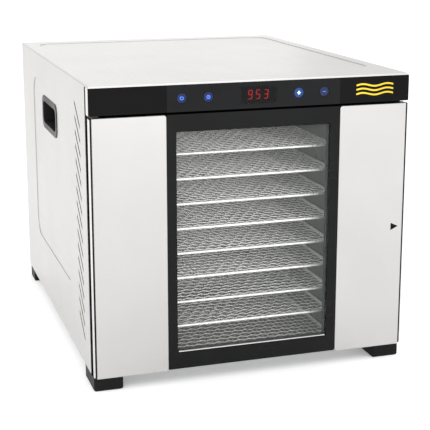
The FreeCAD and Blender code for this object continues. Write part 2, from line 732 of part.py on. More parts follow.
def front_frame():
    """Sheet frame around the chamber mouth; the door closes against it."""
    body = new_body("front_frame", "-%s / 2" % INNER_WIDTH, behind("frame_inset"), "foot_height")
    outline = new_sketch(body, "XZ_Plane")
    rounded_rectangle(outline, INNER_WIDTH, BODY_HEIGHT + " - sheet - emboss - slip", "frame_corner")
    pad(body, outline, "sheet", along=False)
    mouth = new_sketch(body, "XZ_Plane", "side_cavity - sheet - slip", "mouth_lift")
    rounded_rectangle(mouth, CHAMBER_WIDTH, MOUTH_HEIGHT, "mouth_corner")
    pocket(body, mouth, along=False)
    wiring = new_sketch(body, "XZ_Plane", INNER_WIDTH + " / 2 - wiring_width / 2",
                        MODULE_LOW + " - foot_height + wiring_edge")
    rounded_rectangle(wiring, "wiring_width", "module_height - 2 * wiring_edge", "wiring_edge - sheet")
    pocket(body, wiring, along=False)
    catch_holes = new_sketch(body, "XZ_Plane",
                             INNER_WIDTH + " - catch_side - magnet_width / 2 - magnet_play",
                             "catch_rise - magnet_height / 2 - magnet_play")
    for rise in ("0", MOUTH_HEIGHT + " - catch_drop"):
        rectangle(catch_holes, "magnet_width + 2 * magnet_play", "magnet_height + 2 * magnet_play",
                  "0", rise)
    pocket(body, catch_holes, along=False)
    return body


def back_panel():
    """Rear sheet with the fan's intake grille and the cable entry."""
    body = new_body("back_panel", "-%s / 2" % INNER_WIDTH, behind(BACK_PLANE), "foot_height + slip")
    outline = new_sketch(body, "XZ_Plane")
    rounded_rectangle(outline, INNER_WIDTH, BODY_HEIGHT + " - sheet - emboss - 2 * slip",
                      "frame_corner")
    pad(body, outline, "sheet", along=False)
    holes = new_sketch(body, "XZ_Plane")
    for x, z in back_screw_spots():
        circle(holes, "%s / 2 + (%s)" % (INNER_WIDTH, x), z + " - slip", SCREW_HOLE)
    circle(holes, INNER_WIDTH + " / 2 + gland_side", "gland_rise", "gland_radius + slip")
    pocket(body, holes, along=False)
    slot = new_sketch(body, "XZ_Plane", INNER_WIDTH + " / 2 - grille_width / 2",
                      FAN_Z + " - foot_height - grille_rise / 2 - grille_slot / 2")
    rounded_rectangle(slot, "grille_width", "grille_slot", "grille_slot / 2 - slip")
    row_of(body, pocket(body, slot, along=False), "Z_Axis", "grille_rise", GRILLE_COUNT)
    return body


def chamber_wall(label, side):
    """Side wall of the drying chamber with its ten tray rails."""
    inner = "%s / 2" % CHAMBER_WIDTH
    left = side < 0
    x = "-%s - liner_sheet" % inner if left else "%s - rail_width" % inner
    body = new_body(label, x, behind(INNER_FRONT), MOUTH_LOW)
    wall = new_sketch(body, "YZ_Plane", "0", "0", "0" if left else "rail_width")
    rectangle(wall, INNER_LENGTH, MOUTH_HEIGHT)
    pad(body, wall, "liner_sheet")
    rail = new_sketch(body, "YZ_Plane", "rail_end", "tray_low - tray_rod - tray_lift - rail_thick",
                      "liner_sheet / 2" if left else "0")
    rectangle(rail, "%s - %s - 2 * rail_end" % (BAFFLE_PLANE, INNER_FRONT), "rail_thick")
    rails = pad(body, rail, "rail_width + liner_sheet / 2")
    row_of(body, rails, "Z_Axis", "%s * %d" % (TRAY_PITCH, TRAY_COUNT - 1), TRAY_COUNT)
    return body


def chamber_deck(label, z):
    """Floor or ceiling of the drying chamber."""
    return box(label, "-%s / 2 - liner_sheet" % CHAMBER_WIDTH, behind(INNER_FRONT), z,
               CHAMBER_WIDTH + " + 2 * liner_sheet", INNER_LENGTH, "liner_sheet")


def rear_baffle():
    """Perforated plate between the trays and the fan."""
    across = "(%s - 2 * slip)" % CHAMBER_WIDTH
    up = "(%s - 2 * slip)" % MOUTH_HEIGHT
    body = new_body("rear_baffle", "-%s / 2" % across, behind(BAFFLE_PLANE), MOUTH_LOW + " + slip")
    outline = new_sketch(body, "XZ_Plane")
    rectangle(outline, across, up)
    pad(body, outline, "liner_sheet", along=False)
    holes = new_sketch(body, "XZ_Plane")
    for place_in_row in range(9):
        x = "%s / 2 + (%s - 2 * baffle_edge) * %g" % (across, across, (place_in_row - 4) / 8)
        circle(holes, x, "baffle_edge", "baffle_hole")
    row_of(body, pocket(body, holes, along=False), "Z_Axis", up + " - 2 * baffle_edge", 12)
    return body


def handle_cup(label, side):
    """Moulded hand recess with a rim that lies on the pressed field."""
    left = side < 0
    x = "-width / 2 + emboss - rim_thick" if left else "width / 2 - emboss - handle_depth"
    body = new_body(label, x, behind("handle_front - handle_rim"),
                    "height - handle_drop - handle_height - handle_rim")
    face = "0" if left else "handle_depth + rim_thick"
    flange = new_sketch(body, "YZ_Plane", "0", "0", face)
    rounded_rectangle(flange, "handle_length + 2 * handle_rim", "handle_height + 2 * handle_rim",
                      "handle_corner + handle_rim / 2")
    pad(body, flange, "rim_thick", along=left)
    cup = new_sketch(body, "YZ_Plane", "handle_rim", "handle_rim", face)
    rounded_rectangle(cup, "handle_length", "handle_height", "handle_corner")
    pad(body, cup, "handle_depth + rim_thick", along=left)
    hollow = new_sketch(body, "YZ_Plane", "handle_rim + cup_wall", "handle_rim + cup_wall", face)
    rounded_rectangle(hollow, "handle_length - 2 * cup_wall", "handle_height - 2 * cup_wall",
                      "handle_corner - cup_wall")
    pocket(body, hollow, "handle_depth + rim_thick - cup_wall", along=left)
    return body


def foot(label, x, y, length, bolt, notch=False):
    """Moulded foot with a screw recess in its underside."""
    body = new_body(label, x, y, "0")
    outline = new_sketch(body, "XY_Plane")
    rounded_rectangle(outline, "foot_width", length, "foot_round")
    pad(body, outline, "foot_height")
    fillet(body, "foot_chamfer", lambda edge: edge.BoundBox.ZMax < 0.01, kind="Chamfer")
    recess = new_sketch(body, "XY_Plane")
    circle(recess, "foot_width / 2", bolt, "foot_recess")
    pocket(body, recess, "foot_height - foot_seat")
    bore = new_sketch(body, "XY_Plane")
    circle(bore, "foot_width / 2", bolt, SCREW_HOLE)
    pocket(body, bore)
    if notch:
        seat = new_sketch(body, "XY_Plane", "bracket_edge - bracket_play", "0", "foot_height")
        rectangle(seat, "bracket_width + 2 * bracket_play",
                  "hinge_back - bracket_lead + bracket_length + bracket_play - foot_inset")
        pocket(body, seat, "bracket", along=False)
    return body


def screw(x, y, z, axis, length, inward):
    """Pan-head screw: the head lies outside the given point, the shank goes in."""
    shank_shift, head_shift = ("0", "-screw_crown") if inward else ("-(%s)" % length, "0")
    if axis == "y":
        shank = cylinder("screw_shank", x, "%s + %s" % (y, shank_shift), z, "screw_radius", length, "y")
        head = cylinder("screw_head", x, "%s + %s" % (y, head_shift), z, "screw_head", "screw_crown",
                        "y")
    else:
        shank = cylinder("screw_shank", x, y, "%s + %s" % (z, shank_shift), "screw_radius", length)
        head = cylinder("screw_head", x, y, "%s + %s" % (z, head_shift), "screw_head", "screw_crown")
    return fuse("screw", shank, head)


# ---------------------------------------------------------------- fan and heater

def fan_motor():
    front = BACK_PLANE + " - motor_air - motor_length"
    can = cylinder("motor_can", "0", behind(front), FAN_Z, "motor_radius", "motor_length", "y")
    boss = cylinder("motor_boss", "0", behind(front + " - boss_length"), FAN_Z, "boss_radius",
                    "boss_length + slip", "y")
    bore = cylinder("motor_bore", "0", behind(BACK_PLANE + " - fan_ahead"), FAN_Z,
                    "shaft_radius + pin_play", "shaft_length + slip", "y")
    return cut("fan_motor", fuse("motor_solid", can, boss), bore)


def fan_bracket():
    """Folded strap that carries the motor on the back panel."""
    body = new_body("fan_bracket", "-strap_width / 2", behind(BACK_PLANE + " - motor_air"),
                    FAN_Z + " - strap_height / 2")
    section = new_sketch(body, "XY_Plane")
    polygon(section, (
        ("0", "0"),
        ("strap_width", "0"),
        ("strap_width", "motor_air - strap_thick"),
        ("strap_width + strap_foot", "motor_air - strap_thick"),
        ("strap_width + strap_foot", "motor_air"),
        ("strap_width - strap_thick", "motor_air"),
        ("strap_width - strap_thick", "strap_thick"),
        ("strap_thick", "strap_thick"),
        ("strap_thick", "motor_air"),
        ("0", "motor_air"),
    ))
    pad(body, section, "strap_height")
    return body


def fan_impeller():
    """Axial impeller: a hub and pitched blades around the shaft."""
    body = new_body("fan_impeller", "0", behind(BACK_PLANE + " - fan_ahead"), FAN_Z)
    hub = new_sketch(body, "XZ_Plane")
    circle(hub, "0", "0", "shaft_radius + hub_rim")
    pad(body, hub, "hub_length", along=False)
    blade = new_sketch(body, "XY_Plane", "-blade_width / 2", "(hub_length - blade_rise) / 2",
                       "shaft_radius + hub_rim - blade_root")
    polygon(blade, (
        ("0", "0"),
        ("blade_thick", "0"),
        ("blade_width", "blade_rise"),
        ("blade_width - blade_thick", "blade_rise"),
    ))
    ring_of(body, pad(body, blade, "fan_radius - shaft_radius - hub_rim + blade_root"), "Y_Axis",
            BLADE_COUNT)
    bore = new_sketch(body, "XZ_Plane")
    circle(bore, "0", "0", "shaft_radius")
    pocket(body, bore, "hub_length", along=False)
    return body


def heater_element():
    """Two-turn sheathed heater ring on posts from the back panel."""
    y = behind(BACK_PLANE + " - heater_ahead")
    pieces = []
    for turn, radius in enumerate(("heater_radius", "heater_radius - heater_step")):
        ring = doc.addObject("Part::Torus", "heater_ring")
        ring.Label = "heater_ring_%d" % (turn + 1)
        bind(ring, "Radius1", radius)
        bind(ring, "Radius2", "heater_rod")
        place(ring, "0", y, FAN_Z, TURNS["y"])
        pieces.append(ring)
    for side in ("-1", "1"):
        x = "%s * (heater_radius - heater_step / 2)" % side
        pieces.append(cylinder("heater_post", x, y, FAN_Z, "heater_post", "heater_ahead", "y"))
    return fuse("heater_element", *pieces)


def thermal_cutout():
    """Safety switch under the roof of the fan room."""
    top = MOUTH_LOW + " + " + MOUTH_HEIGHT
    y = BACK_PLANE + " - cutout_ahead"
    can = cylinder("cutout_can", "cutout_side", behind(y), top + " - cutout_height", "cutout_radius",
                   "cutout_height")
    tabs = box("cutout_tabs", "cutout_side - cutout_tab", behind(y + " - cutout_tab / 4"),
               top + " - cutout_height - cutout_tab", "2 * cutout_tab", "cutout_tab / 2",
               "cutout_tab + slip")
    return fuse("thermal_cutout", can, tabs)


def power_board():
    """Supply board that stands in the side cavity."""
    face = "width / 2 - supply_side + board_thick - slip"
    low = "foot_height + sheet"
    board = box("board", "width / 2 - supply_side", behind("depth - supply_ahead"), low,
                "board_thick", "supply_length", "supply_height")
    relay = box("relay", face, behind("depth - supply_ahead + post_edge"), low + " + board_edge * 2",
                "relay_width", "relay_length", "coil_height")
    capacitor = cylinder("capacitor", face,
                         behind("depth - supply_ahead + supply_length - capacitor_radius * 3"),
                         low + " + capacitor_radius * 3", "capacitor_radius", "capacitor_length", "x")
    coil = box("coil", face, behind("depth - supply_ahead + relay_length + post_edge"),
               low + " + supply_height - coil_height * 2", "coil_width", "relay_length", "coil_height")
    return fuse("power_board", board, relay, capacitor, coil)


def cord_gland():
    """Empty cable entry in the back panel."""
    z = "foot_height + slip + gland_rise"
    front = BACK_PLANE + " - gland_reach"
    length = "gland_reach + gland_stand"
    body = cylinder("gland_body", "gland_side", behind(front), z, "gland_radius", length, "y")
    rim = cylinder("gland_rim", "gland_side", behind(BACK_PLANE + " + sheet"), z,
                   "gland_radius + gland_rim", "gland_thick", "y")
    bore = cylinder("gland_bore", "gland_side", behind(front), z, "cord_bore", length, "y")
    return cut("cord_gland", fuse("gland_solid", body, rim), bore)


# ---------------------------------------------------------------- controls

def control_openings(body, across, low, display_gap, button_gap):
    """Openings for the display and the buttons in one piece of the module."""
    openings = new_sketch(body, "XZ_Plane")
    rise = "(%s - (%s))" % (BUTTON_RISE, low)
    rectangle(openings, "display_width + 2 * (%s)" % display_gap,
              "display_height + 2 * (%s)" % display_gap,
              "%s / 2 + display_shift - display_width / 2 - (%s)" % (across, display_gap),
              "%s - display_height / 2 - (%s)" % (rise, display_gap))
    for label, x in BUTTONS:
        circle(openings, "%s / 2 + (%s)" % (across, x), rise, "button_radius + " + button_gap)
    return openings


def control_carrier():
    """Moulded box that holds the control module; it is open at the back."""
    length = "(frame_inset - slip - %s)" % MODULE_BACK
    body = new_body("control_carrier", "-%s / 2" % LINER_WIDTH, behind(MODULE_BACK), MODULE_LOW)
    outline = new_sketch(body, "XZ_Plane")
    rectangle(outline, LINER_WIDTH, "module_height")
    pad(body, outline, length, along=False)
    hollow = new_sketch(body, "XZ_Plane", "carrier_side", "carrier_wall", "-carrier_face")
    rectangle(hollow, LINER_WIDTH + " - 2 * carrier_side", "module_height - 2 * carrier_wall")
    pocket(body, hollow, length, along=False)
    posts = new_sketch(body, "XZ_Plane", "0", "0", "-carrier_face / 2")
    for side in ("-", "+"):
        for z in ("post_edge", "module_height - post_edge"):
            circle(posts, "%s / 2 %s post_side" % (LINER_WIDTH, side), z, "post_radius")
    pad(body, posts, "board_back - %s - carrier_face / 2" % MODULE_BACK, along=False)
    openings = control_openings(body, LINER_WIDTH, "0", "button_play", "button_play")
    pocket(body, openings, "carrier_face + slip", along=False)
    return body


def control_fascia():
    """Gloss face of the control module, stepped back in the middle for the insert."""
    high = "module_height - 2 * fascia_edge"
    body = new_body("control_fascia", "-width / 2", behind("fascia_front"),
                    MODULE_LOW + " + fascia_edge")
    ears = new_sketch(body, "XZ_Plane")
    rounded_rectangle(ears, "width", high, "fascia_corner")
    pad(body, ears, "fascia_ear", along=False)
    plate = new_sketch(body, "XZ_Plane", "strip + seam", "0")
    rounded_rectangle(plate, LINER_WIDTH, high, "fascia_corner")
    pad(body, plate, "fascia_thick", along=False)
    step = new_sketch(body, "XZ_Plane", "width / 2 - %s / 2" % CENTRE_WIDTH, "0")
    rectangle(step, CENTRE_WIDTH, high)
    pocket(body, step, "insert_thick + slip - fascia_front", along=False)
    openings = control_openings(body, "width", "fascia_edge", "seam", "button_play")
    pocket(body, openings, along=False)
    return body


def fascia_insert():
    """Centre insert with openings for the display and the buttons."""
    across = "(%s - 2 * seam)" % CENTRE_WIDTH
    body = new_body("fascia_insert", "-%s / 2" % across, FRONT, MODULE_LOW + " + fascia_edge")
    outline = new_sketch(body, "XZ_Plane")
    rectangle(outline, across, "module_height - 2 * fascia_edge")
    pad(body, outline, "insert_thick", along=False)
    openings = control_openings(body, across, "fascia_edge", "slip", "button_play")
    pocket(body, openings, along=False)
    return body


def button(label, x):
    """Push button with a retaining collar behind the carrier's front wall."""
    stem = cylinder(label + "_stem", x, FRONT, BUTTON_Z, "button_radius", "button_length", "y")
    collar = cylinder(label + "_collar", x, behind(MODULE_BACK + " + carrier_face + collar_air"),
                      BUTTON_Z, "button_radius + collar_rim", "collar_thick", "y")
    return fuse(label, stem, collar)


def led_digits():
    """Lit bars of the three-digit display."""
    lit = {"9": "abcdfg", "5": "acdfg", "3": "abcdg"}
    side = "digit_width - digit_bar"
    post = "digit_height / 2 - 1.5 * digit_bar - 2 * digit_gap"
    level = "digit_height / 2 + digit_bar / 2 + digit_gap"
    spots = {
        "a": ("0", "digit_height - digit_bar", "digit_width", "digit_bar"),
        "d": ("0", "0", "digit_width", "digit_bar"),
        "g": ("0", "digit_height / 2 - digit_bar / 2", "digit_width", "digit_bar"),
        "f": ("0", level, "digit_bar", post),
        "b": (side, level, "digit_bar", post),
        "c": (side, "digit_bar + digit_gap", "digit_bar", post),
    }
    bars = []
    for number, text in enumerate("953"):
        left = "display_shift - digit_width / 2 + digit_pitch * %d" % (number - 1)
        for name in lit[text]:
            x, z, across, up = spots[name]
            bars.append(box("bar_%s_%s" % (text, name), "%s + %s" % (left, x), behind(MODULE_BACK),
                            "%s - digit_height / 2 + %s" % (BUTTON_Z, z), across, "digit_thick", up))
    return group("led_digits", *bars)


def wave_band(length, amplitude, thickness, waves):
    """Face outline of one wavy line in the XZ plane, drawn from a sine."""
    steps = 36
    upper = []
    lower = []
    for step in range(steps + 1):
        x = length * step / steps
        z = amplitude * math.sin(2 * math.pi * waves * step / steps)
        upper.append(VECTOR(x, 0, z + thickness / 2))
        lower.append(VECTOR(x, 0, z - thickness / 2))
    top = Part.BSplineCurve()
    top.interpolate(upper)
    bottom = Part.BSplineCurve()
    bottom.interpolate(lower)
    edges = [
        top.toShape(),
        Part.makeLine(upper[-1], lower[-1]),
        bottom.toShape(),
        Part.makeLine(lower[0], upper[0]),
    ]
    return Part.Face(Part.Wire(Part.__sortEdges__(edges)))


def airflow_mark():
    """Generic airflow pictogram: three wavy lines on the fascia."""
    rise = size_of("module_height / 6")
    band = wave_band(size_of("mark_length"), size_of("mark_wave"), size_of("mark_line"), 1.5)
    band = band.extrude(VECTOR(0, size_of("mark_deep"), 0))
    lines = []
    for line in range(3):
        copy = band.copy()
        copy.translate(VECTOR(0, 0, (line - 1) * rise))
        lines.append(copy)
    item = doc.addObject("Part::Feature", "airflow_mark")
    item.Label = "airflow_mark"
    item.Shape = Part.makeCompound(lines)
    item.Placement.Base = VECTOR(size_of("width / 2 - mark_side"),
                                 size_of(behind("fascia_front - mark_deep")), size_of(BUTTON_Z))
    return item


def edge_strips(label, y, z, length, depth):
    """A pair of bright strips, one on each outer edge, with rounded front corners."""
    strips = []
    for side, x in (("left", "-width / 2"), ("right", "width / 2 - strip")):
        body = new_body("%s_%s" % (label, side), x, y, z)
        outline = new_sketch(body, "YZ_Plane")
        rounded_rectangle(outline, depth, length, "strip_round")
        pad(body, outline, "strip")
        strips.append(body)
    return group(label, *strips)


# ---------------------------------------------------------------- door

def door_panel(label, side):
    """Folded steel panel beside the window; its lower edge hangs below the window frame."""
    left = side < 0
    high = "(%s + skin_hang)" % DOOR_HEIGHT
    x = "-width / 2 + groove" if left else "width / 2 - free_groove - flank_width"
    body = new_body(label, x, FRONT, SKIN_LOW)
    outline = new_sketch(body, "XZ_Plane")
    rectangle(outline, "flank_width", high)
    pad(body, outline, "skin_depth", along=False)
    along_y = VECTOR(0, 1, 0)
    middle = size_of("flank_width") / 2
    for radius, inner in (("panel_corner", True), ("panel_tip", False)):
        fillet(body, radius, lambda edge: runs_along(edge, along_y)
               and ((edge.CenterOfMass.x > middle) == left) == inner)
    fillet(body, "panel_round", lambda edge: edge.BoundBox.YMax < 0.01)
    hollow = new_sketch(body, "XZ_Plane", "sheet", "sheet", "-skin_depth")
    rounded_rectangle(hollow, "flank_width - 2 * sheet", high + " - 2 * sheet", "panel_corner - sheet")
    pocket(body, hollow, "skin_depth - sheet", along=True)
    if not left:
        mark = new_sketch(body, "XZ_Plane", "flank_width - pull_side - pull_length - pull_play",
                          "skin_hang + %s / 2 - pull_height / 2 - pull_play" % DOOR_HEIGHT)
        polygon(mark, (("0", "0"), ("pull_length + 2 * pull_play", "pull_height / 2 + pull_play"),
                       ("0", "pull_height + 2 * pull_play")))
        pocket(body, mark, "pull_deep + slip / 2", along=False)
    return body


def pull_mark():
    """Small arrow that shows which edge to pull."""
    body = new_body("pull_mark", "width / 2 - free_groove - pull_side - pull_length",
                    behind("slip / 2"), DOOR_LOW + " + %s / 2 - pull_height / 2" % DOOR_HEIGHT)
    outline = new_sketch(body, "XZ_Plane")
    polygon(outline, (("0", "0"), ("pull_length", "pull_height / 2"), ("0", "pull_height")))
    pad(body, outline, "pull_deep", along=False)
    return body


def door_frame():
    """Black surround of the window."""
    body = new_body("door_frame", "-%s / 2" % CENTRE_WIDTH, behind("frame_step"), DOOR_LOW)
    outline = new_sketch(body, "XZ_Plane")
    rounded_rectangle(outline, CENTRE_WIDTH, DOOR_HEIGHT, "fascia_corner")
    pad(body, outline, "skin_depth - frame_step", along=False)
    window = new_sketch(body, "XZ_Plane", "window_border", "window_low")
    rounded_rectangle(window, WINDOW_WIDTH, WINDOW_HEIGHT, "window_corner")
    pocket(body, window, along=False)
    return body


def window_glass():
    return box("window_glass", "-%s / 2 - glass_lap" % WINDOW_WIDTH, behind("skin_depth"),
               DOOR_LOW + " + window_low - glass_lap", WINDOW_WIDTH + " + 2 * glass_lap",
               "glass_thick", WINDOW_HEIGHT + " + 2 * glass_lap")


def door_liner():
    """Inner shell of the door: carries the skins, the glass and the hinge bushes."""
    up = "(%s - 2 * slip)" % DOOR_HEIGHT
    lap_width = "(%s + 2 * glass_lap)" % WINDOW_WIDTH
    lap_height = "(%s + 2 * glass_lap)" % WINDOW_HEIGHT
    body = new_body("door_liner", "-%s / 2" % LINER_WIDTH, behind("skin_depth"), DOOR_LOW + " + slip")
    outline = new_sketch(body, "XZ_Plane")
    rectangle(outline, LINER_WIDTH, up)
    pad(body, outline, "door_depth - skin_depth", along=False)
    ribs = new_sketch(body, "XZ_Plane")
    left_rib, right_rib = "groove - strip - 2 * seam", "free_groove - strip - 2 * seam"
    rectangle(ribs, left_rib, up)
    rectangle(ribs, right_rib, up, "%s - (%s)" % (LINER_WIDTH, right_rib), "0")
    pad(body, ribs, "skin_depth - rib_step")
    seat = new_sketch(body, "XZ_Plane", "%s / 2 - %s / 2 - slip" % (LINER_WIDTH, lap_width),
                      "window_low - glass_lap - 2 * slip")
    rectangle(seat, lap_width + " + 2 * slip", lap_height + " + 2 * slip")
    pocket(body, seat, "glass_thick", along=False)
    window = new_sketch(body, "XZ_Plane", "%s / 2 - %s / 2" % (LINER_WIDTH, WINDOW_WIDTH),
                        "window_low - slip")
    rounded_rectangle(window, WINDOW_WIDTH, WINDOW_HEIGHT, "window_corner")
    pocket(body, window, along=False)
    for lift, along in (("0", True), (up, False)):
        bore = new_sketch(body, "XY_Plane", "0", "0", lift)
        circle(bore, "hinge_side - strip - seam", "hinge_back - skin_depth", "bush_radius")
        pocket(body, bore, "bush_length + pin_short", along=along)
    return body


def door_gasket():
    """Silicone loop on the back of the door."""
    across = "(%s + 2 * gasket_lap)" % CHAMBER_WIDTH
    up = "(%s - 2 * gasket_inset)" % DOOR_HEIGHT
    body = new_body("door_gasket", "-%s / 2" % across, behind("door_depth"),
                    DOOR_LOW + " + gasket_inset")
    outline = new_sketch(body, "XZ_Plane")
    rounded_rectangle(outline, across, up, "gasket_corner")
    pad(body, outline, "frame_inset - door_depth - gasket_air", along=False)
    inside = new_sketch(body, "XZ_Plane", "gasket_width", "gasket_bar")
    rounded_rectangle(inside, across + " - 2 * gasket_width", up + " - 2 * gasket_bar",
                      "gasket_corner - gasket_bar")
    pocket(body, inside, along=False)
    return body


def hinge_bushes():
    y = behind("hinge_back")
    bushes = []
    for z in (DOOR_LOW + " + slip", DOOR_TOP + " - slip - bush_length"):
        outside = cylinder("bush_outside", HINGE_X, y, z, "bush_radius", "bush_length")
        inside = cylinder("bush_inside", HINGE_X, y, z, "pin_radius + pin_play", "bush_length")
        bushes.append(cut("bush", outside, inside))
    return group("hinge_bushes", *bushes)


def hinge_pins():
    y = behind("hinge_back")
    reach = "slip + bush_length - pin_short"
    lower = cylinder("pin_lower", HINGE_X, y, "foot_height - bracket", "pin_radius",
                     "bracket + door_lift + " + reach)
    upper = cylinder("pin_upper", HINGE_X, y, "%s - (%s)" % (DOOR_TOP, reach), "pin_radius",
                     "bracket_air + bracket + " + reach)
    return group("hinge_pins", lower, upper)


def hinge_brackets():
    """Tongues that carry the pins: one under the base, one above the door."""
    x = "-width / 2 + bracket_edge"
    y = behind("hinge_back - bracket_lead")
    low, high = "foot_height - bracket", DOOR_TOP + " + bracket_air"
    lower = box("bracket_low", x, y, low, "bracket_width", "bracket_length", "bracket")
    tongue = box("bracket_high", x, y, high, "bracket_width",
                 "frame_inset - hinge_back + bracket_lead", "bracket")
    leg = box("bracket_leg", x, behind("frame_inset - bracket"),
              high + " + bracket - bracket_leg", "bracket_width", "bracket", "bracket_leg")
    holes = [cylinder("bracket_hole", HINGE_X, behind("hinge_back"), z, "pin_radius", "bracket")
             for z in (low, high)]
    return group("hinge_brackets", cut("bracket_lower", lower, holes[0]),
                 cut("bracket_upper", fuse("bracket_bent", tongue, leg), holes[1]))


def catches(label, y, thickness, across, up):
    """Two equal catch pieces, one low and one high, near the free edge of the door."""
    pieces = []
    x = "width / 2 - sheet - slip - catch_side - %s / 2" % across
    low = "foot_height + catch_rise - %s / 2" % up
    for z in (low, "%s + %s - catch_drop" % (low, MOUTH_HEIGHT)):
        pieces.append(box(label + "_piece", x, y, z, across, thickness, up))
    return group(label, *pieces)


# ---------------------------------------------------------------- trays

def tray_solid():
    """Rod rim with a welded net, drawn once around the tray's own centre."""
    across = size_of("%s - 2 * tray_play - 2 * tray_rod" % CHAMBER_WIDTH)
    along = size_of("%s - tray_back - tray_front - 2 * tray_rod" % BAFFLE_PLANE)
    bend, rod, wire = size_of("tray_corner"), size_of("tray_rod"), size_of("net_wire")
    half_x, half_y = across / 2, along / 2
    edges = []
    last = VECTOR(half_x, 0, 0)
    for number, (sx, sy) in enumerate(((1, 1), (-1, 1), (-1, -1), (1, -1))):
        upright = number % 2 == 0
        centre = VECTOR(sx * (half_x - bend), sy * (half_y - bend), 0)
        start = centre + (VECTOR(sx * bend, 0, 0) if upright else VECTOR(0, sy * bend, 0))
        end = centre + (VECTOR(0, sy * bend, 0) if upright else VECTOR(sx * bend, 0, 0))
        middle = centre + VECTOR(sx, sy, 0) * (bend / math.sqrt(2))
        edges.append(Part.makeLine(last, start))
        edges.append(Part.Arc(start, middle, end).toShape())
        last = end
    edges.append(Part.makeLine(last, VECTOR(half_x, 0, 0)))
    path = Part.Wire(edges)
    section = Part.Wire(Part.makeCircle(rod, VECTOR(half_x, 0, 0), VECTOR(0, 1, 0)))
    rim = path.makePipeShell([section], True, True)

    cell_x = (across - wire) / NET_COLUMNS
    cell_y = (along - wire) / NET_ROWS
    shrink = bend - cell_x + wire
    holes = []
    for column in range(NET_COLUMNS):
        for row in range(NET_ROWS):
            low = -half_y + wire + row * cell_y
            high = low + cell_y - wire
            if column in (0, NET_COLUMNS - 1):
                low += shrink if row == 0 else 0
                high -= shrink if row == NET_ROWS - 1 else 0
            corner = VECTOR(-half_x + wire + column * cell_x, low, -bend)
            holes.append(Part.makeBox(cell_x - wire, high - low, 2 * bend, corner))
    net = Part.Face(path).extrude(VECTOR(0, 0, size_of("net_thick")))
    net = net.cut(Part.makeCompound(holes))
    net.translate(VECTOR(0, 0, size_of("net_lift")))
    return rim.fuse(net)


def trays():
    master = tray_solid()
    middle = size_of("-depth / 2 + (%s - tray_back + tray_front) / 2" % BAFFLE_PLANE)
    for number in range(TRAY_COUNT):
        item = doc.addObject("Part::Feature", "tray_%02d" % (number + 1))
        item.Label = "tray_%02d" % (number + 1)
        item.Shape = master.copy()
        level = size_of("%s + tray_low + %s * %d" % (MOUTH_LOW, TRAY_PITCH, number))
        item.Placement.Base = VECTOR(0, middle, level)
        node(item)


# ---------------------------------------------------------------- assembly

node(outer_cover())
node(base_pan())
node(front_frame())
node(back_panel())
node(chamber_wall("chamber_wall_left", -1))
node(chamber_wall("chamber_wall_right", 1))
node(chamber_deck("chamber_floor", MOUTH_LOW + " - liner_sheet"))
node(chamber_deck("chamber_ceiling", MOUTH_LOW + " + " + MOUTH_HEIGHT))
node(rear_baffle())
node(handle_cup("handle_cup_left", -1))
node(handle_cup("handle_cup_right", 1))

LEFT_FOOT, RIGHT_FOOT = "-width / 2", "width / 2 - foot_width"
FRONT_FEET = behind("foot_inset")
REAR_FEET = "depth / 2 - foot_rear_inset - foot_rear_depth"
node(foot("foot_front_left", LEFT_FOOT, FRONT_FEET, "foot_depth", "foot_bolt", notch=True))
node(foot("foot_front_right", RIGHT_FOOT, FRONT_FEET, "foot_depth", "foot_bolt"))
node(group("feet_rear", *[foot("foot_rear", x, REAR_FEET, "foot_rear_depth", "foot_rear_bolt")
                          for x in (LEFT_FOOT, RIGHT_FOOT)]))
node(group("foot_screws", *[
    screw(x + " + foot_width / 2", y, "foot_height - foot_seat", "z",
          "foot_seat + sheet + screw_grip", True)
    for x in (LEFT_FOOT, RIGHT_FOOT)
    for y in (FRONT_FEET + " + foot_bolt", REAR_FEET + " + foot_rear_bolt")]))

node(fan_motor())
node(fan_bracket())
node(fan_impeller())
node(cylinder("fan_shaft", "0", behind(BACK_PLANE + " - fan_ahead"), FAN_Z, "shaft_radius",
              "shaft_length", "y"))
node(heater_element())
node(thermal_cutout())
node(power_board())
node(cord_gland())
node(group("back_screws", *[
    screw(x, behind(BACK_PLANE + " + sheet"), "foot_height + " + z, "y", "back_screw", False)
    for x, z in back_screw_spots()]))

node(control_carrier())
node(control_fascia())
node(fascia_insert())
node(box("display_window", "display_shift - display_width / 2", FRONT,
         BUTTON_Z + " - display_height / 2", "display_width", "display_thick", "display_height"))
node(box("display_module", "display_shift - display_width / 2 + button_play",
         behind(MODULE_BACK + " + digit_thick"), BUTTON_Z + " - display_height / 2 + button_play",
         "display_width - 2 * button_play", "board_back - %s - digit_thick" % MODULE_BACK,
         "display_height - 2 * button_play"))
node(led_digits())
node(box("control_pcb", "-board_half", behind("board_back"), MODULE_LOW + " + board_edge",
         "2 * board_half", "board_thick", "module_height - 2 * board_edge"))
for label, x in BUTTONS:
    node(button(label, x))
node(airflow_mark())
node(edge_strips("fascia_ends", behind("fascia_front + fascia_ear + slip"), MODULE_LOW,
                 "module_height", "module_strip_depth"))

node(hinge_brackets())
node(hinge_pins())
PLATE_BACK = "door_depth + plate_thick"
node(catches("catch_magnets", behind(PLATE_BACK + " + catch_air"),
             "frame_inset + magnet_depth - (%s + catch_air)" % PLATE_BACK, "magnet_width",
             "magnet_height"))
node(door_panel("door_panel_left", -1))
node(door_panel("door_panel_right", 1))
node(pull_mark())
node(door_frame())
node(window_glass())
node(door_liner())
node(door_gasket())
node(edge_strips("door_edges", FRONT, DOOR_LOW, DOOR_HEIGHT, "strip_depth"))
node(hinge_bushes())
node(catches("catch_plates", behind("door_depth"), "plate_thick", "plate_width", "plate_height"))
trays()

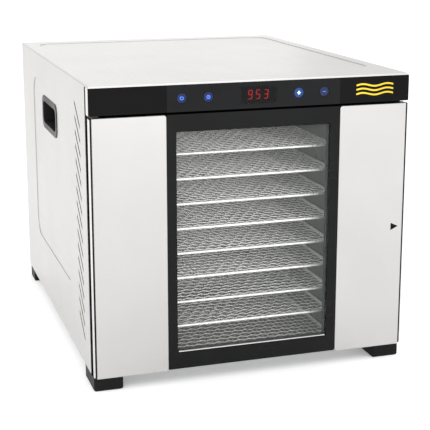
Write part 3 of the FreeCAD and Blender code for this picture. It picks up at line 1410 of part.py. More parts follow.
doc.recompute()
for item in doc.Objects:
    if "Invalid" in item.State or "Error" in item.State:
        raise ValueError("failed feature: %s %s" % (item.Name, item.State))
for item in NODES:
    if item.Shape.isNull() or not item.Shape.isValid():
        raise ValueError("bad shape: " + item.Label)
for item in NODES:
    item.Shape.exportStep("parts/%s.step" % item.Label)
print("sub-parts written:", len(NODES))
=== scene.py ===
import json
import math

import bpy
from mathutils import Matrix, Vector


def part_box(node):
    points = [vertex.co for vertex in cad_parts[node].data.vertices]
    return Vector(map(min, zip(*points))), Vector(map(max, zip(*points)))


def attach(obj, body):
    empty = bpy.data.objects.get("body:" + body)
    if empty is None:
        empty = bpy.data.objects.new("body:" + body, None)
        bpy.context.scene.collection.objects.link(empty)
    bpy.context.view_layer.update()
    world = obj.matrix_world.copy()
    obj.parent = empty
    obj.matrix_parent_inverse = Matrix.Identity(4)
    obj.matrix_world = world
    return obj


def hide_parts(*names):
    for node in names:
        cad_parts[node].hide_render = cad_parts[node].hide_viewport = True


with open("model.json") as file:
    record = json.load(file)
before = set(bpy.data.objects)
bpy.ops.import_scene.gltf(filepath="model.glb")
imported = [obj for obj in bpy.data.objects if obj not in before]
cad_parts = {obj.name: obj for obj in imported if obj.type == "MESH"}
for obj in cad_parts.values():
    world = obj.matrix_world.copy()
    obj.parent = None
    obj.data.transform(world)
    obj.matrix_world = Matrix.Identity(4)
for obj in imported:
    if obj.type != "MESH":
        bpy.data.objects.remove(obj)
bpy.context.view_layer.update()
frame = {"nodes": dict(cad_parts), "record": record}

NODES = frame["nodes"]
MM = 0.001
BUTTONS = ("power", "timer", "plus", "minus")
TRAYS = tuple("%02d" % (i + 1) for i in range(10))
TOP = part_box("outer_cover")[1].z
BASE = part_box("base_pan")[0].z


# ---------------------------------------------------------------- material graphs

class Look:
    """A Principled material with short helpers for its procedural nodes."""

    def __init__(self, name, color, metallic=0.0, roughness=0.5, **sockets):
        self.material = bpy.data.materials.new(name)
        self.material.use_nodes = True
        self.tree = self.material.node_tree
        self.shader = self.tree.nodes["Principled BSDF"]
        self.set("Base Color", (*color, 1.0))
        self.set("Metallic", metallic)
        self.set("Roughness", roughness)
        for socket, value in sockets.items():
            self.set(socket.replace("_", " "), value)
        self.coordinates = self.add("ShaderNodeTexCoord").outputs["Object"]

    def set(self, socket, value):
        self.shader.inputs[socket].default_value = value

    def add(self, kind, **settings):
        node = self.tree.nodes.new(kind)
        for key, value in settings.items():
            setattr(node, key, value)
        return node

    def link(self, output, target):
        self.tree.links.new(output, target)

    def mapped(self, scale):
        node = self.add("ShaderNodeMapping")
        node.inputs["Scale"].default_value = scale
        self.link(self.coordinates, node.inputs["Vector"])
        return node.outputs["Vector"]

    def noise(self, scale, detail=2.0, stretch=(1, 1, 1), rough=0.5):
        node = self.add("ShaderNodeTexNoise")
        node.inputs["Scale"].default_value = scale
        node.inputs["Detail"].default_value = detail
        node.inputs["Roughness"].default_value = rough
        self.link(self.mapped(stretch), node.inputs["Vector"])
        return node.outputs["Fac"]

    def cells(self, scale, output="Color"):
        node = self.add("ShaderNodeTexVoronoi")
        node.inputs["Scale"].default_value = scale
        self.link(self.coordinates, node.inputs["Vector"])
        return node.outputs[output]

    def spread(self, value, low, high, start=0.3, end=0.7):
        node = self.add("ShaderNodeMapRange")
        node.inputs["From Min"].default_value = start
        node.inputs["From Max"].default_value = end
        node.inputs["To Min"].default_value = low
        node.inputs["To Max"].default_value = high
        self.link(value, node.inputs["Value"])
        return node.outputs["Result"]

    def tint(self, value, first, second, start=0.3, end=0.7, socket="Base Color"):
        node = self.add("ShaderNodeValToRGB")
        node.color_ramp.elements[0].position = start
        node.color_ramp.elements[0].color = (*first, 1)
        node.color_ramp.elements[1].position = end
        node.color_ramp.elements[1].color = (*second, 1)
        self.link(value, node.inputs["Fac"])
        self.link(node.outputs["Color"], self.shader.inputs[socket])

    def shine(self, value, low, high, start=0.3, end=0.7):
        self.link(self.spread(value, low, high, start, end), self.shader.inputs["Roughness"])

    def bump(self, value, strength, distance):
        node = self.add("ShaderNodeBump")
        node.inputs["Strength"].default_value = strength
        node.inputs["Distance"].default_value = distance
        self.link(value, node.inputs["Height"])
        self.link(node.outputs["Normal"], self.shader.inputs["Normal"])


def shade(color, factor):
    return tuple(channel * factor for channel in color)


def brushed(name, color, grain, roughness=0.32, spread=0.06):
    """Brushed sheet: fine lines along one axis, faint cloudiness and rubbed patches."""
    look = Look(name, color, 1.0, roughness)
    along = [2600.0, 2600.0, 2600.0]
    along[grain] = 14.0
    lines = look.noise(1.0, 3.0, along, 0.6)
    clouds = look.noise(7.0, 3.0)
    look.tint(clouds, shade(color, 0.97), shade(color, 1.02), 0.35, 0.65)
    look.shine(lines, roughness - spread, roughness + spread)
    look.bump(lines, 0.05, 0.00002)
    return look.material


def moulded(name, color, roughness, grain=1400.0, strength=0.25, specular=0.3):
    """Textured plastic with slightly worn, glossier patches."""
    look = Look(name, color, 0.0, roughness, Specular_IOR_Level=specular)
    look.tint(look.noise(30.0, 4.0), shade(color, 0.8), shade(color, 1.25))
    look.shine(look.noise(14.0, 5.0), roughness - 0.07, roughness + 0.07)
    look.bump(look.noise(grain, 2.0), strength, 0.00012)
    return look.material


def glossy(name, color, roughness=0.1, specular=0.25):
    """Polished plastic with faint smears and a trace of orange peel."""
    look = Look(name, color, 0.0, roughness, Specular_IOR_Level=specular)
    look.tint(look.noise(18.0, 3.0), shade(color, 0.85), shade(color, 1.2))
    look.shine(look.noise(9.0, 5.0, (1, 1, 2.5)), roughness * 0.7, roughness * 1.6)
    look.bump(look.noise(220.0, 1.0), 0.03, 0.0001)
    return look.material


def zinc(name, color, roughness=0.42):
    """Zinc-coated sheet: soft spangle in colour and gloss."""
    look = Look(name, color, 1.0, roughness)
    spangle = look.cells(90.0)
    look.tint(spangle, shade(color, 0.94), shade(color, 1.05), 0.1, 0.9)
    look.shine(spangle, roughness - 0.03, roughness + 0.04, 0.1, 0.9)
    look.bump(look.noise(60.0, 3.0), 0.05, 0.0002)
    return look.material


def enamel(name, color, roughness=0.35, specular=0.4):
    """Dark fired coating with fine flecks."""
    look = Look(name, color, 0.0, roughness, Specular_IOR_Level=specular)
    look.tint(look.noise(900.0, 2.0), shade(color, 0.85), shade(color, 1.35), 0.45, 0.72)
    look.shine(look.noise(25.0, 4.0), roughness - 0.08, roughness + 0.1)
    look.bump(look.noise(260.0, 2.0), 0.06, 0.0001)
    return look.material


def wire(name, color, roughness=0.18, metallic=1.0):
    """Bright drawn wire with small dull spots here and there."""
    look = Look(name, color, metallic, roughness)
    look.tint(look.noise(160.0, 3.0), shade(color, 0.88), color, 0.3, 0.6)
    look.shine(look.noise(240.0, 3.0), roughness * 0.7, roughness * 1.7)
    look.bump(look.noise(500.0, 2.0), 0.08, 0.00005)
    return look.material


def pane(name, color, alpha, roughness=0.03, specular=0.5):
    """Glass seen through, with faint wipe marks in its gloss."""
    look = Look(name, color, 0.0, roughness, Specular_IOR_Level=specular, Alpha=alpha)
    look.shine(look.noise(5.0, 4.0, (1, 1, 3)), roughness, roughness + 0.05)
    return look.material


def lit(name, color, strength, grain=400.0):
    """Lit plastic: the glow varies a little across it."""
    look = Look(name, shade(color, 0.4), 0.0, 0.25, Emission_Strength=strength)
    look.tint(look.noise(grain, 2.0), shade(color, 0.8), color, socket="Emission Color")
    look.shine(look.noise(grain, 2.0), 0.2, 0.35)
    return look.material


def circuit_board():
    look = Look("board_look", (0.012, 0.09, 0.035), 0.0, 0.35)
    tracks = look.add("ShaderNodeTexBrick")
    tracks.inputs["Color1"].default_value = (0.010, 0.085, 0.032, 1)
    tracks.inputs["Color2"].default_value = (0.014, 0.110, 0.042, 1)
    tracks.inputs["Mortar"].default_value = (0.030, 0.180, 0.080, 1)
    tracks.inputs["Scale"].default_value = 160.0
    tracks.inputs["Mortar Size"].default_value = 0.06
    look.link(look.mapped((1, 1, 1)), tracks.inputs["Vector"])
    look.link(tracks.outputs["Color"], look.shader.inputs["Base Color"])
    look.bump(tracks.outputs["Fac"], 0.2, 0.0001)
    return look.material


def key_cap(name, glow, strength):
    """Dark key cap with a glow that varies a little over its face."""
    look = Look(name, (0.006, 0.009, 0.02), 0.0, 0.22, Emission_Strength=strength,
                Specular_IOR_Level=0.3)
    look.tint(look.noise(260.0, 2.0), shade(glow, 0.7), glow, socket="Emission Color")
    look.shine(look.noise(160.0, 3.0), 0.16, 0.30)
    look.bump(look.noise(300.0, 2.0), 0.05, 0.0001)
    return look.material


LOOKS = {
    "cover_steel": brushed("cover_steel_look", (0.545, 0.538, 0.528), 1, 0.34),
    # the door's steel is the cover's steel a shade darker: painted shade on the front panels
    "door_steel": brushed("door_steel_painted_shade_look", (0.505, 0.498, 0.490), 2, 0.34),
    "bright_strip": brushed("bright_strip_look", (0.62, 0.62, 0.62), 2, 0.22),
    "base_zinc": zinc("base_zinc_look", (0.48, 0.49, 0.50)),
    "back_grey": zinc("back_grey_look", (0.50, 0.50, 0.51), 0.48),
    # near-black for the front frame instead of the chamber's grey: painted shade for the gap between
    # cover and door
    "frame_gap_painted_shade": enamel("front_frame_painted_shade_look", (0.006, 0.006, 0.006), 0.45, 0.1),
    "chamber_grey": enamel("chamber_grey_look", (0.060, 0.050, 0.042)),
    "fascia_black": glossy("fascia_black_look", (0.003, 0.003, 0.0035), 0.10, 0.10),
    "insert_black": glossy("insert_black_look", (0.004, 0.0043, 0.005), 0.12, 0.17),
    "frame_black": glossy("frame_black_look", (0.005, 0.0052, 0.0052), 0.20, 0.13),
    "liner_black": moulded("liner_black_look", (0.006, 0.006, 0.006), 0.55, specular=0.12),
    "cup_black": moulded("cup_black_look", (0.010, 0.010, 0.011), 0.42, specular=0.3),
    "foot_black": moulded("foot_black_look", (0.005, 0.005, 0.005), 0.5, specular=0.13),
    "module_black": moulded("module_black_look", (0.003, 0.003, 0.003), 0.5, strength=0.1,
                            specular=0.08),
    "gasket_black": moulded("gasket_black_look", (0.008, 0.008, 0.008), 0.7, 500.0, specular=0.1),
    "clear_glass": pane("clear_glass_look", (0.75, 0.80, 0.78), 0.04),
    "display_smoke": pane("display_smoke_look", (0.004, 0.0043, 0.005), 0.72, 0.12, 0.17),
    "led_red": lit("led_red_look", (1.0, 0.03, 0.03), 9.0),
    "board_green": circuit_board(),
    "button_dark": key_cap("key_cap_look", (0.01, 0.05, 0.30), 0.5),
    "mark_cream": glossy("mark_cream_look", (0.78, 0.55, 0.03), 0.3),
    "mark_black": glossy("mark_black_look", (0.003, 0.003, 0.003), 0.3, 0.06),
    "tray_wire": wire("tray_wire_look", (0.96, 0.96, 0.95), 0.30, 0.7),
    "tray_cloth": wire("tray_cloth_look", (0.95, 0.93, 0.90), 0.30, 0.55),
    "motor_grey": zinc("motor_grey_look", (0.30, 0.31, 0.32), 0.4),
    "hinge_black": moulded("hinge_black_look", (0.012, 0.012, 0.012), 0.35, 900.0, 0.1, 0.4),
    "impeller_metal": brushed("impeller_metal_look", (0.70, 0.71, 0.72), 0, 0.35),
    "heater_metal": wire("heater_metal_look", (0.16, 0.13, 0.12), 0.45),
    "magnet_black": moulded("magnet_black_look", (0.02, 0.02, 0.02), 0.5, 800.0),
    "pin_steel": wire("pin_steel_look", (0.62, 0.62, 0.62), 0.25),
    "bush_brass": wire("bush_brass_look", (0.70, 0.48, 0.18), 0.3),
    "switch_white": moulded("switch_white_look", (0.70, 0.68, 0.62), 0.5, 600.0),
}
KEY_LOOKS = {            # the cap and the icon of each key; the plus key's brighter, paler glow is a painted highlight, the minus key's dimmer glow painted shade
    "power": (key_cap("cap_power_look", (0.003, 0.014, 0.10), 0.8),
              lit("icon_power_look", (0.06, 0.22, 1.0), 2.2)),
    "timer": (key_cap("cap_timer_look", (0.003, 0.014, 0.10), 0.8),
              lit("icon_timer_look", (0.06, 0.22, 1.0), 2.2)),
    # plus key: brighter, paler glow, a painted highlight
    "plus": (key_cap("cap_plus_painted_highlight_look", (0.012, 0.06, 0.28), 1.0),
             lit("icon_plus_painted_highlight_look", (0.50, 0.80, 1.0), 4.0)),
    # minus key: dimmer glow, painted shade
    "minus": (key_cap("cap_minus_painted_shade_look", (0.003, 0.012, 0.08), 0.8),
              lit("icon_minus_painted_shade_look", (0.05, 0.18, 0.80), 1.4)),
}
NODE_SLOT = {row["node"]: row["material_slot"] for row in frame["record"]["subparts"]}


# ---------------------------------------------------------------- mesh helpers

def mesh_piece(name, vertices, faces, body, slot, look=None, smooth=True):
    """A new piece that rides on a body and takes its finish from a slot."""
    mesh = bpy.data.meshes.new(name)
    mesh.from_pydata([tuple(v) for v in vertices], [], faces)
    mesh.validate()
    mesh.update()
    for polygon in mesh.polygons:
        polygon.use_smooth = smooth
    piece = bpy.data.objects.new(name, mesh)
    bpy.context.scene.collection.objects.link(piece)
    mesh.materials.append(look or LOOKS[slot])
    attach(piece, body)
    return piece


def join(parts):
    """Several (vertices, faces) as one."""
    vertices, faces = [], []
    for some_vertices, some_faces in parts:
        offset = len(vertices)
        vertices += some_vertices
        faces += [tuple(i + offset for i in face) for face in some_faces]
    return vertices, faces


def tube(points, radius, sides=8, closed=False, up=Vector((0, 0, 1))):
    """A tube along points; its section is held by a fixed up direction."""
    points = [Vector(p) for p in points]
    count = len(points)
    vertices, faces = [], []
    for i, point in enumerate(points):
        before = points[i - 1] if i or closed else point
        after = points[(i + 1) % count] if i < count - 1 or closed else point
        ahead = (after - before).normalized()
        side = ahead.cross(up).normalized()
        rise = side.cross(ahead)
        for k in range(sides):
            angle = 2 * math.pi * k / sides
            vertices.append(point + side * (radius * math.cos(angle))
                            + rise * (radius * math.sin(angle)))
    spans = count if closed else count - 1
    for i in range(spans):
        here, there = i * sides, ((i + 1) % count) * sides
        for k in range(sides):
            n = (k + 1) % sides
            faces.append((here + k, there + k, there + n, here + n))
    if not closed:
        faces.append(tuple(reversed(range(sides))))
        faces.append(tuple(range((count - 1) * sides, count * sides)))
    return vertices, [tuple(reversed(face)) for face in faces]


def lathe(profile, centre, axis, sides=32):
    """A turned solid: profile is (radius, distance along the axis), from one end to the other."""
    axis = Vector(axis).normalized()
    first = axis.orthogonal().normalized()
    second = axis.cross(first)
    vertices, faces = [], []
    for radius, along in profile:
        for k in range(sides):
            angle = 2 * math.pi * k / sides
            spoke = first * math.cos(angle) + second * math.sin(angle)
            vertices.append(Vector(centre) + axis * along + spoke * radius)
    for ring in range(len(profile) - 1):
        for k in range(sides):
            n = (k + 1) % sides
            a, b = ring * sides, (ring + 1) * sides
            faces.append((a + k, a + n, b + n, b + k))
    faces.append(tuple(reversed(range(sides))))
    faces.append(tuple(range((len(profile) - 1) * sides, len(profile) * sides)))
    return vertices, faces


def block(low, high):
    """Corner-to-corner block; its edges are rounded by the piece's bevel."""
    (x0, y0, z0), (x1, y1, z1) = low, high
    vertices = [Vector((x, y, z)) for x in (x0, x1) for y in (y0, y1) for z in (z0, z1)]
    faces = [(0, 1, 3, 2), (4, 6, 7, 5), (0, 4, 5, 1), (2, 3, 7, 6), (0, 2, 6, 4), (1, 5, 7, 3)]
    return vertices, faces


def bevel(piece, width, segments=2, angle=35):
    modifier = piece.modifiers.new("edge_round", "BEVEL")
    modifier.width = width
    modifier.segments = segments
    modifier.limit_method = "ANGLE"
    modifier.angle_limit = math.radians(angle)
    return modifier


# ---------------------------------------------------------------- carried-over pieces

for node, piece in NODES.items():
    piece.data.materials.clear()
    # the front frame takes the near-black look, painted shade in the gap between cover and door, not
    # its own chamber grey
    piece.data.materials.append(LOOKS["frame_gap_painted_shade" if node == "front_frame" else NODE_SLOT[node]])

# width in millimetres of the rounding on each outer edge of a carried-over piece
EDGE_ROUND = {
    "outer_cover": 0.35, "control_fascia": 0.25, "fascia_insert": 0.2,
    "door_frame": 0.6, "window_glass": 0.4, "door_liner": 0.5, "door_edges": 0.25, "fascia_ends": 0.25,
    "handle_cup_left": 0.35, "handle_cup_right": 0.35, "foot_front_left": 0.5,
    "foot_front_right": 0.5, "feet_rear": 0.5, "door_gasket": 0.8, "hinge_brackets": 0.25,
    "front_frame": 0.15, "pull_mark": 0.08, "airflow_mark": 0.06, "catch_plates": 0.2,
    "catch_magnets": 0.4, "control_carrier": 0.3, "thermal_cutout": 0.4, "fan_bracket": 0.2,
}
for node, width in EDGE_ROUND.items():
    bevel(NODES[node], width * MM)


# ---------------------------------------------------------------- trays

def rounded_loop(x0, y0, x1, y1, z, radius, steps=8):
    """Points of a rectangle with round corners, at one height."""
    points = []
    corners = ((x1, y1, 0), (x0, y1, 90), (x0, y0, 180), (x1, y0, 270))
    for x, y, start in corners:
        cx = x - radius if start in (0, 270) else x + radius
        cy = y - radius if start in (0, 90) else y + radius
        for k in range(steps + 1):
            angle = math.radians(start + 90 * k / steps)
            points.append((cx + radius * math.cos(angle), cy + radius * math.sin(angle), z))
    return points


def inset_at(across, half, radius):
    """How far a rounded corner pulls an end in, for a wire at this distance from the middle."""
    into = across - (half - radius)
    if into <= 0:
        return 0.0
    return radius - math.sqrt(max(radius * radius - into * into, 0.0))


def tray_mesh(low, high):
    """Rim of round rod with a welded cloth of thin wires inside it."""
    rod = 2.0 * MM               # radius of the rim
    corner = 23.0 * MM
    x0, y0, x1, y1 = low.x + rod, low.y + rod, high.x - rod, high.y - rod
    level = (low.z + high.z) / 2
    rim = tube(rounded_loop(x0, y0, x1, y1, level, corner), rod, 10, closed=True)
    parts = [rim]
    half_x, half_y = (x1 - x0) / 2, (y1 - y0) / 2
    middle_x, middle_y = (x0 + x1) / 2, (y0 + y1) / 2
    pitch_x, pitch_y = 7.6 * MM, 12.4 * MM
    thin = 0.36 * MM             # radius of the wires that run front to back
    thick = 0.62 * MM            # radius of the cross wires that pass over and under them
    wave = (thin + thick) * 0.95
    margin = 0.3                 # share of a pitch kept free along the rim
    columns = int(half_x / pitch_x - margin)
    rows = int(half_y / pitch_y - margin)
    net = level + 1.1 * MM
    for i in range(-columns, columns + 1):
        x = middle_x + i * pitch_x
        pull = inset_at(abs(x - middle_x), half_x, corner)
        parts.append(tube([(x, y0 + pull, net), (x, y1 - pull, net)], thin, 6))
    for j in range(-rows, rows + 1):
        y = middle_y + j * pitch_y
        pull = inset_at(abs(y - middle_y), half_y, corner)
        points = [(x0 + pull, y, net)]
        for i in range(-columns, columns + 1):
            x = middle_x + i * pitch_x
            if x0 + pull < x < x1 - pull:
                side = 1 if (i + j) % 2 else -1
                points.append((x, y, net + side * wave))
        points.append((x1 - pull, y, net))
        parts.append(tube(points, thick, 6))
    return join(parts) + (len(rim[1]),)


for number in TRAYS:
    tray_low, tray_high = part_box("tray_" + number)
    vertices, faces, rim_faces = tray_mesh(tray_low, tray_high)
    tray = mesh_piece("wire_tray_" + number, vertices, faces, "shelf_" + number, "tray_wire")
    tray.data.materials.append(LOOKS["tray_cloth"])
    for polygon in tray.data.polygons[rim_faces:]:
        polygon.material_index = 1
    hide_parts("tray_" + number)


# ---------------------------------------------------------------- display digits

def slanted_bar(start, end, half, front, back):
    """A display bar between two points of the XZ plane, with pointed ends."""
    run = Vector((end[0] - start[0], end[1] - start[1]))
    ahead = run.normalized()
    side = Vector((-ahead.y, ahead.x))
    first, last = Vector(start), Vector(end)
    outline = (first, first + (ahead - side) * half, last - (ahead + side) * half, last,
               last + (side - ahead) * half, first + (ahead + side) * half)
    count = len(outline)
    vertices = [Vector((p.x, y, p.y)) for y in (front, back) for p in outline]
    faces = [tuple(range(count)), tuple(reversed(range(count, 2 * count)))]
    for k in range(count):
        n = (k + 1) % count
        faces.append((k, k + count, n + count, n))
    return vertices, faces


def digits():
    """Three seven-segment digits in the space of the CAD ones."""
    low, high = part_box("led_digits")
    segments = {"a": ((0, 2), (1, 2)), "g": ((0, 1), (1, 1)), "d": ((0, 0), (1, 0)),
                "f": ((0, 1), (0, 2)), "b": ((1, 1), (1, 2)), "e": ((0, 0), (0, 1)),
                "c": ((1, 0), (1, 1))}
    lit_bars = {"9": "abcdfg", "5": "acdfg", "3": "abcdg"}
    half = 0.36 * MM             # half the width of a bar
    lean = 0.9 * MM
    pitch_share = 0.386          # from digit to digit, of the display's width
    pitch = (high.x - low.x) * pitch_share
    across = high.x - low.x - 2 * pitch - 2 * half - lean
    rise = (high.z - low.z - 2 * half) / 2
    gap = 0.16 * MM
    parts = []
    for place, text in enumerate("953"):
        left = low.x + half + place * pitch
        for name in lit_bars[text]:
            (x0, z0), (x1, z1) = segments[name]
            dx, dz = (x1 - x0), (z1 - z0)
            ends = []
            for x, z, sign in ((x0, z0, 1), (x1, z1, -1)):
                ends.append((left + across * x + lean * z / 2 + sign * gap * (dx + dz * 0.1),
                             low.z + half + rise * z + sign * gap * dz))
            parts.append(slanted_bar(ends[0], ends[1], half, low.y, high.y))
    vertices, faces = join(parts)
    bars = mesh_piece("display_bars", vertices, faces, "cabinet", "led_red", smooth=False)
    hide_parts("led_digits")


digits()


# ---------------------------------------------------------------- buttons

def arc_points(centre, radius, start, end, y, steps=20):
    """Points of an arc in the plane of a key's face, from one angle to another."""
    points = []
    for k in range(steps + 1):
        angle = math.radians(start + (end - start) * k / steps)
        points.append((centre.x + radius * math.cos(angle), y, centre.z + radius * math.sin(angle)))
    return points


def icon(kind, centre, y, size, line):
    """Raised icon of round strokes on the face of a key."""
    def stroke(x0, z0, x1, z1):
        return tube([(centre.x + x0 * size, y, centre.z + z0 * size),
                     (centre.x + x1 * size, y, centre.z + z1 * size)], line, 8, up=Vector((0, 1, 0)))

    def ring(start, end, closed=False):
        points = arc_points(centre, size, start, end, y)
        return tube(points[:-1] if closed else points, line, 8, closed=closed, up=Vector((0, 1, 0)))

    if kind == "power":
        return [ring(125, 415), stroke(0, 0.35, 0, 1.1)]
    if kind == "timer":
        return [ring(0, 360, True), stroke(0, 0, 0, 0.62), stroke(0, 0, 0.45, -0.25)]
    if kind == "plus":
        return [stroke(-0.9, 0, 0.9, 0), stroke(0, -0.9, 0, 0.9)]
    return [stroke(-0.9, 0, 0.9, 0)]


COLLAR_RIM = 2.0 * MM        # the collar behind the carrier wall stands out this far from the cap
COLLAR_THICK = 1.0 * MM


def key(kind):
    """Dished cap with its collar, and the icon in the dish."""
    node = "button_" + kind
    low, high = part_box(node)
    centre = (low + high) / 2
    cap_radius = (high.x - low.x) / 2 - COLLAR_RIM
    length = high.y - low.y
    recess = 0.45 * MM
    profile = ((0.02 * MM, recess), (cap_radius * 0.80, recess), (cap_radius * 0.86, 0.12 * MM),
               (cap_radius * 0.93, 0.0), (cap_radius * 0.985, 0.12 * MM), (cap_radius, 0.5 * MM),
               (cap_radius, length - COLLAR_THICK),
               (cap_radius + COLLAR_RIM * 0.85, length - COLLAR_THICK),
               (cap_radius + COLLAR_RIM, length - COLLAR_THICK * 0.8),
               (cap_radius + COLLAR_RIM, length - COLLAR_THICK * 0.15),
               (cap_radius + COLLAR_RIM * 0.9, length))
    vertices, faces = lathe(profile, (centre.x, low.y, centre.z), (0, 1, 0), 48)
    cap_look, icon_look = KEY_LOOKS[kind]
    cap = mesh_piece("cap_" + kind, vertices, faces, "key_" + kind, "button_dark", look=cap_look)
    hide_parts(node)
    fine = kind in ("power", "timer")
    line = 0.32 * MM if fine else 0.43 * MM
    size = cap_radius * (0.34 if fine else 0.42)
    vertices, faces = join(icon(kind, centre, low.y + recess, size, line))
    mesh_piece("icon_" + kind, vertices, faces, "key_" + kind, "button_dark", look=icon_look)


for kind in BUTTONS:
    key(kind)


# ---------------------------------------------------------------- window sill: painted highlight strip

def painted_sill_highlight():
    """Bright strip on the lower edge of the window, in front of the glass: a painted highlight that
    stands in for the light on the window's bevelled lower edge.
    """
    glass_low, glass_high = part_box("window_glass")
    frame_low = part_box("door_frame")[0]
    lap = 8.0 * MM               # the surround covers this much of the glass
    ends = lap + 1.2 * MM
    tall = 1.9 * MM
    base = glass_low.z + lap + 0.05 * MM
    vertices, faces = block((glass_low.x + ends, frame_low.y + 0.35 * MM, base),
                            (glass_high.x - ends, glass_low.y - 0.15 * MM, base + tall))
    # bright steel strip put where the window's edge shows only a highlight: painted highlight
    strip = mesh_piece("window_sill_painted_highlight", vertices, faces, "door", "bright_strip")
    bevel(strip, 0.7 * MM, 3)


painted_sill_highlight()


# ---------------------------------------------------------------- screws and cable entry

def cross_head(centre, axis, radius, crown, shank, shank_length):
    """Pan-head screw with a cross recess; axis points out of the head."""
    axis = Vector(axis)
    first = axis.orthogonal().normalized()
    second = axis.cross(first)
    rings, sides = 14, 48
    vertices, faces = [], []
    for ring in range(rings + 1):
        share = ring / rings
        distance = radius * share
        dome = crown * (1 - 0.32 * share ** 2) if share < 0.93 else crown * 0.55
        if ring == rings:
            dome = crown * 0.45
        for k in range(sides):
            angle = 2 * math.pi * k / sides
            u, v = distance * math.cos(angle), distance * math.sin(angle)
            in_cross = min(abs(u), abs(v)) < radius * 0.13 and distance < radius * 0.62
            rise = dome - (crown * 0.55 if in_cross else 0.0)
            vertices.append(Vector(centre) + first * u + second * v + axis * rise)
    for edge_radius, rise in ((radius, 0.0), (shank, 0.0), (shank, -shank_length * 0.9),
                              (shank * 0.6, -shank_length)):
        for k in range(sides):
            angle = 2 * math.pi * k / sides
            spoke = first * math.cos(angle) + second * math.sin(angle)
            vertices.append(Vector(centre) + spoke * edge_radius + axis * rise)
    for ring in range(rings + 4):
        for k in range(sides):
            n = (k + 1) % sides
            a, b = ring * sides, (ring + 1) * sides
            faces.append((a + k, b + k, b + n, a + n))
    faces.append(tuple(reversed(range((rings + 4) * sides, (rings + 5) * sides))))
    return vertices, faces


def screws():
    """Screws of the back panel and of the feet, with cross recesses."""
    head, crown, shank = 3.8 * MM, 2.2 * MM, 2.0 * MM
    low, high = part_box("back_screws")
    plane = high.y - crown
    edge_x = high.x - head
    inner_x = 120.0 * MM
    low_level = low.z + head
    side_levels = (low_level, (TOP + BASE) / 2, TOP - (low_level - BASE))
    spots = [(side * edge_x, z) for side in (-1, 1) for z in side_levels]
    spots += [(side * inner_x, high.z - head) for side in (-1, 1)]
    length = plane - low.y
    parts = [cross_head((x, plane, z), (0, 1, 0), head, crown, shank, length) for x, z in spots]
    vertices, faces = join(parts)
    piece = mesh_piece("panel_screws", vertices, faces, "cabinet", "pin_steel", smooth=False)
    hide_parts("back_screws")

    low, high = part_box("foot_screws")
    plane = low.z + crown
    parts = [cross_head((x, y, plane), (0, 0, -1), head, crown, shank, high.z - plane)
             for x in (low.x + head, high.x - head) for y in (low.y + head, high.y - head)]
    vertices, faces = join(parts)
    piece = mesh_piece("feet_screws", vertices, faces, "cabinet", "pin_steel", smooth=False)
    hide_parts("foot_screws")


def turned_ring(profile, centre, axis, sides=48, phase=0.0):
    """A turned piece with a bore: profile is a closed loop of (radius, distance along)."""
    axis = Vector(axis)
    first = axis.orthogonal().normalized()
    second = axis.cross(first)
    vertices, faces = [], []
    count = len(profile)
    for radius, along in profile:
        for k in range(sides):
            angle = 2 * math.pi * (k + phase) / sides
            spoke = first * math.cos(angle) + second * math.sin(angle)
            vertices.append(Vector(centre) + axis * along + spoke * radius)
    for ring in range(count):
        a, b = ring * sides, ((ring + 1) % count) * sides
        for k in range(sides):
            n = (k + 1) % sides
            faces.append((a + k, a + n, b + n, b + k))
    return vertices, faces


def cable_entry():
    """Empty gland in the back panel: barrel, flange and hexagonal nut."""
    low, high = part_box("cord_gland")
    centre = (low + high) / 2
    wide = (high.x - low.x) / 2
    total = high.y - low.y
    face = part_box("back_panel")[1].y - low.y
    bore, body = 4.0 * MM, wide - 3.0 * MM
    barrel = ((bore, 0.4 * MM), (bore + 0.4 * MM, 0.0), (body - 0.5 * MM, 0.0), (body, 0.5 * MM),
              (body, total - 2.4 * MM), (body - 0.8 * MM, total - 0.7 * MM),
              (body - 2.4 * MM, total), (bore + 0.9 * MM, total), (bore, total - 0.9 * MM))
    flange = ((body - 0.2 * MM, face), (wide - 0.3 * MM, face), (wide, face + 0.4 * MM),
              (wide, face + 1.2 * MM), (wide - 0.5 * MM, face + 1.6 * MM),
              (body - 0.2 * MM, face + 1.6 * MM))
    nut = ((body - 0.2 * MM, face + 1.5 * MM), (wide - 0.9 * MM, face + 1.5 * MM),
           (wide - 0.4 * MM, face + 2.0 * MM), (wide - 0.4 * MM, face + 4.4 * MM),
           (wide - 1.2 * MM, face + 5.0 * MM), (body - 0.2 * MM, face + 5.0 * MM))
    origin = (centre.x, low.y, centre.z)
    parts = [turned_ring(barrel, origin, (0, 1, 0)), turned_ring(flange, origin, (0, 1, 0)),
             turned_ring(nut, origin, (0, 1, 0), 6)]
    vertices, faces = join(parts)
    piece = mesh_piece("cable_gland", vertices, faces, "cabinet", "liner_black", smooth=False)
    bevel(piece, 0.25 * MM)
    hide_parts("cord_gland")


screws()
cable_entry()


# ---------------------------------------------------------------- camera, light, floor

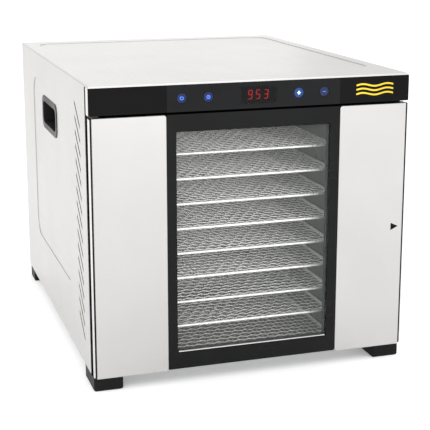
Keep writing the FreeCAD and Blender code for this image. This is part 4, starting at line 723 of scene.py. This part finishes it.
def stage():
    """Pale floor that glows a little, so that it stays white, a white world and four soft lights."""
    reach = 8.0
    corners = [(-reach, -reach, 0), (reach, -reach, 0), (reach, reach, 0), (-reach, reach, 0)]
    mesh = bpy.data.meshes.new("floor")
    mesh.from_pydata(corners, [], [(0, 1, 2, 3)])
    floor = bpy.data.objects.new("floor", mesh)
    bpy.context.scene.collection.objects.link(floor)
    look = Look("floor_look", (0.92, 0.92, 0.92), 0.0, 0.7, Specular_IOR_Level=0.1,
                Emission_Color=(1, 1, 1, 1), Emission_Strength=0.24)
    look.tint(look.noise(3.0, 2.0), (0.91, 0.91, 0.91), (0.93, 0.93, 0.93))
    mesh.materials.append(look.material)

    world = bpy.data.worlds.new("studio")
    world.use_nodes = True
    world.node_tree.nodes["Background"].inputs["Color"].default_value = (1.0, 1.0, 1.0, 1)
    world.node_tree.nodes["Background"].inputs["Strength"].default_value = 1.12
    bpy.context.scene.world = world

    def soft_box(name, location, target, width, height, power):
        light = bpy.data.lights.new(name, "AREA")
        light.shape = "RECTANGLE"
        light.size = width
        light.size_y = height
        light.energy = power
        holder = bpy.data.objects.new(name, light)
        bpy.context.scene.collection.objects.link(holder)
        holder.location = location
        aim = Vector(target) - Vector(location)
        holder.rotation_euler = aim.to_track_quat("-Z", "Y").to_euler()

    soft_box("key", (-1.6, -1.8, 1.9), (0, -0.1, 0.2), 1.6, 1.2, 16)
    soft_box("fill", (1.8, -1.4, 1.2), (0, -0.1, 0.2), 1.2, 1.2, 8)
    soft_box("front", (0.5, -2.4, 0.55), (0, 0, 0.2), 1.2, 0.7, 5)
    soft_box("back", (0.45, 2.6, 0.95), (0, 0, 0.4), 1.5, 1.0, 1.5)


def make_camera():
    """Camera at the photograph's angle, from the left front and a little above."""
    pitch, yaw = 12.8415, -17.7024
    camera = bpy.data.cameras.new("camera")
    holder = bpy.data.objects.new("camera", camera)
    bpy.context.scene.collection.objects.link(holder)
    camera.sensor_width = 36.0
    camera.lens = 95.04
    camera.shift_y = -0.08
    camera.clip_end = 50
    holder.location = (-0.504, -1.6854, 0.6173)
    holder.rotation_euler = (math.radians(90 - pitch), 0, math.radians(yaw))
    bpy.context.scene.camera = holder


stage()
make_camera()
bpy.context.scene.view_settings.view_transform = "Standard"
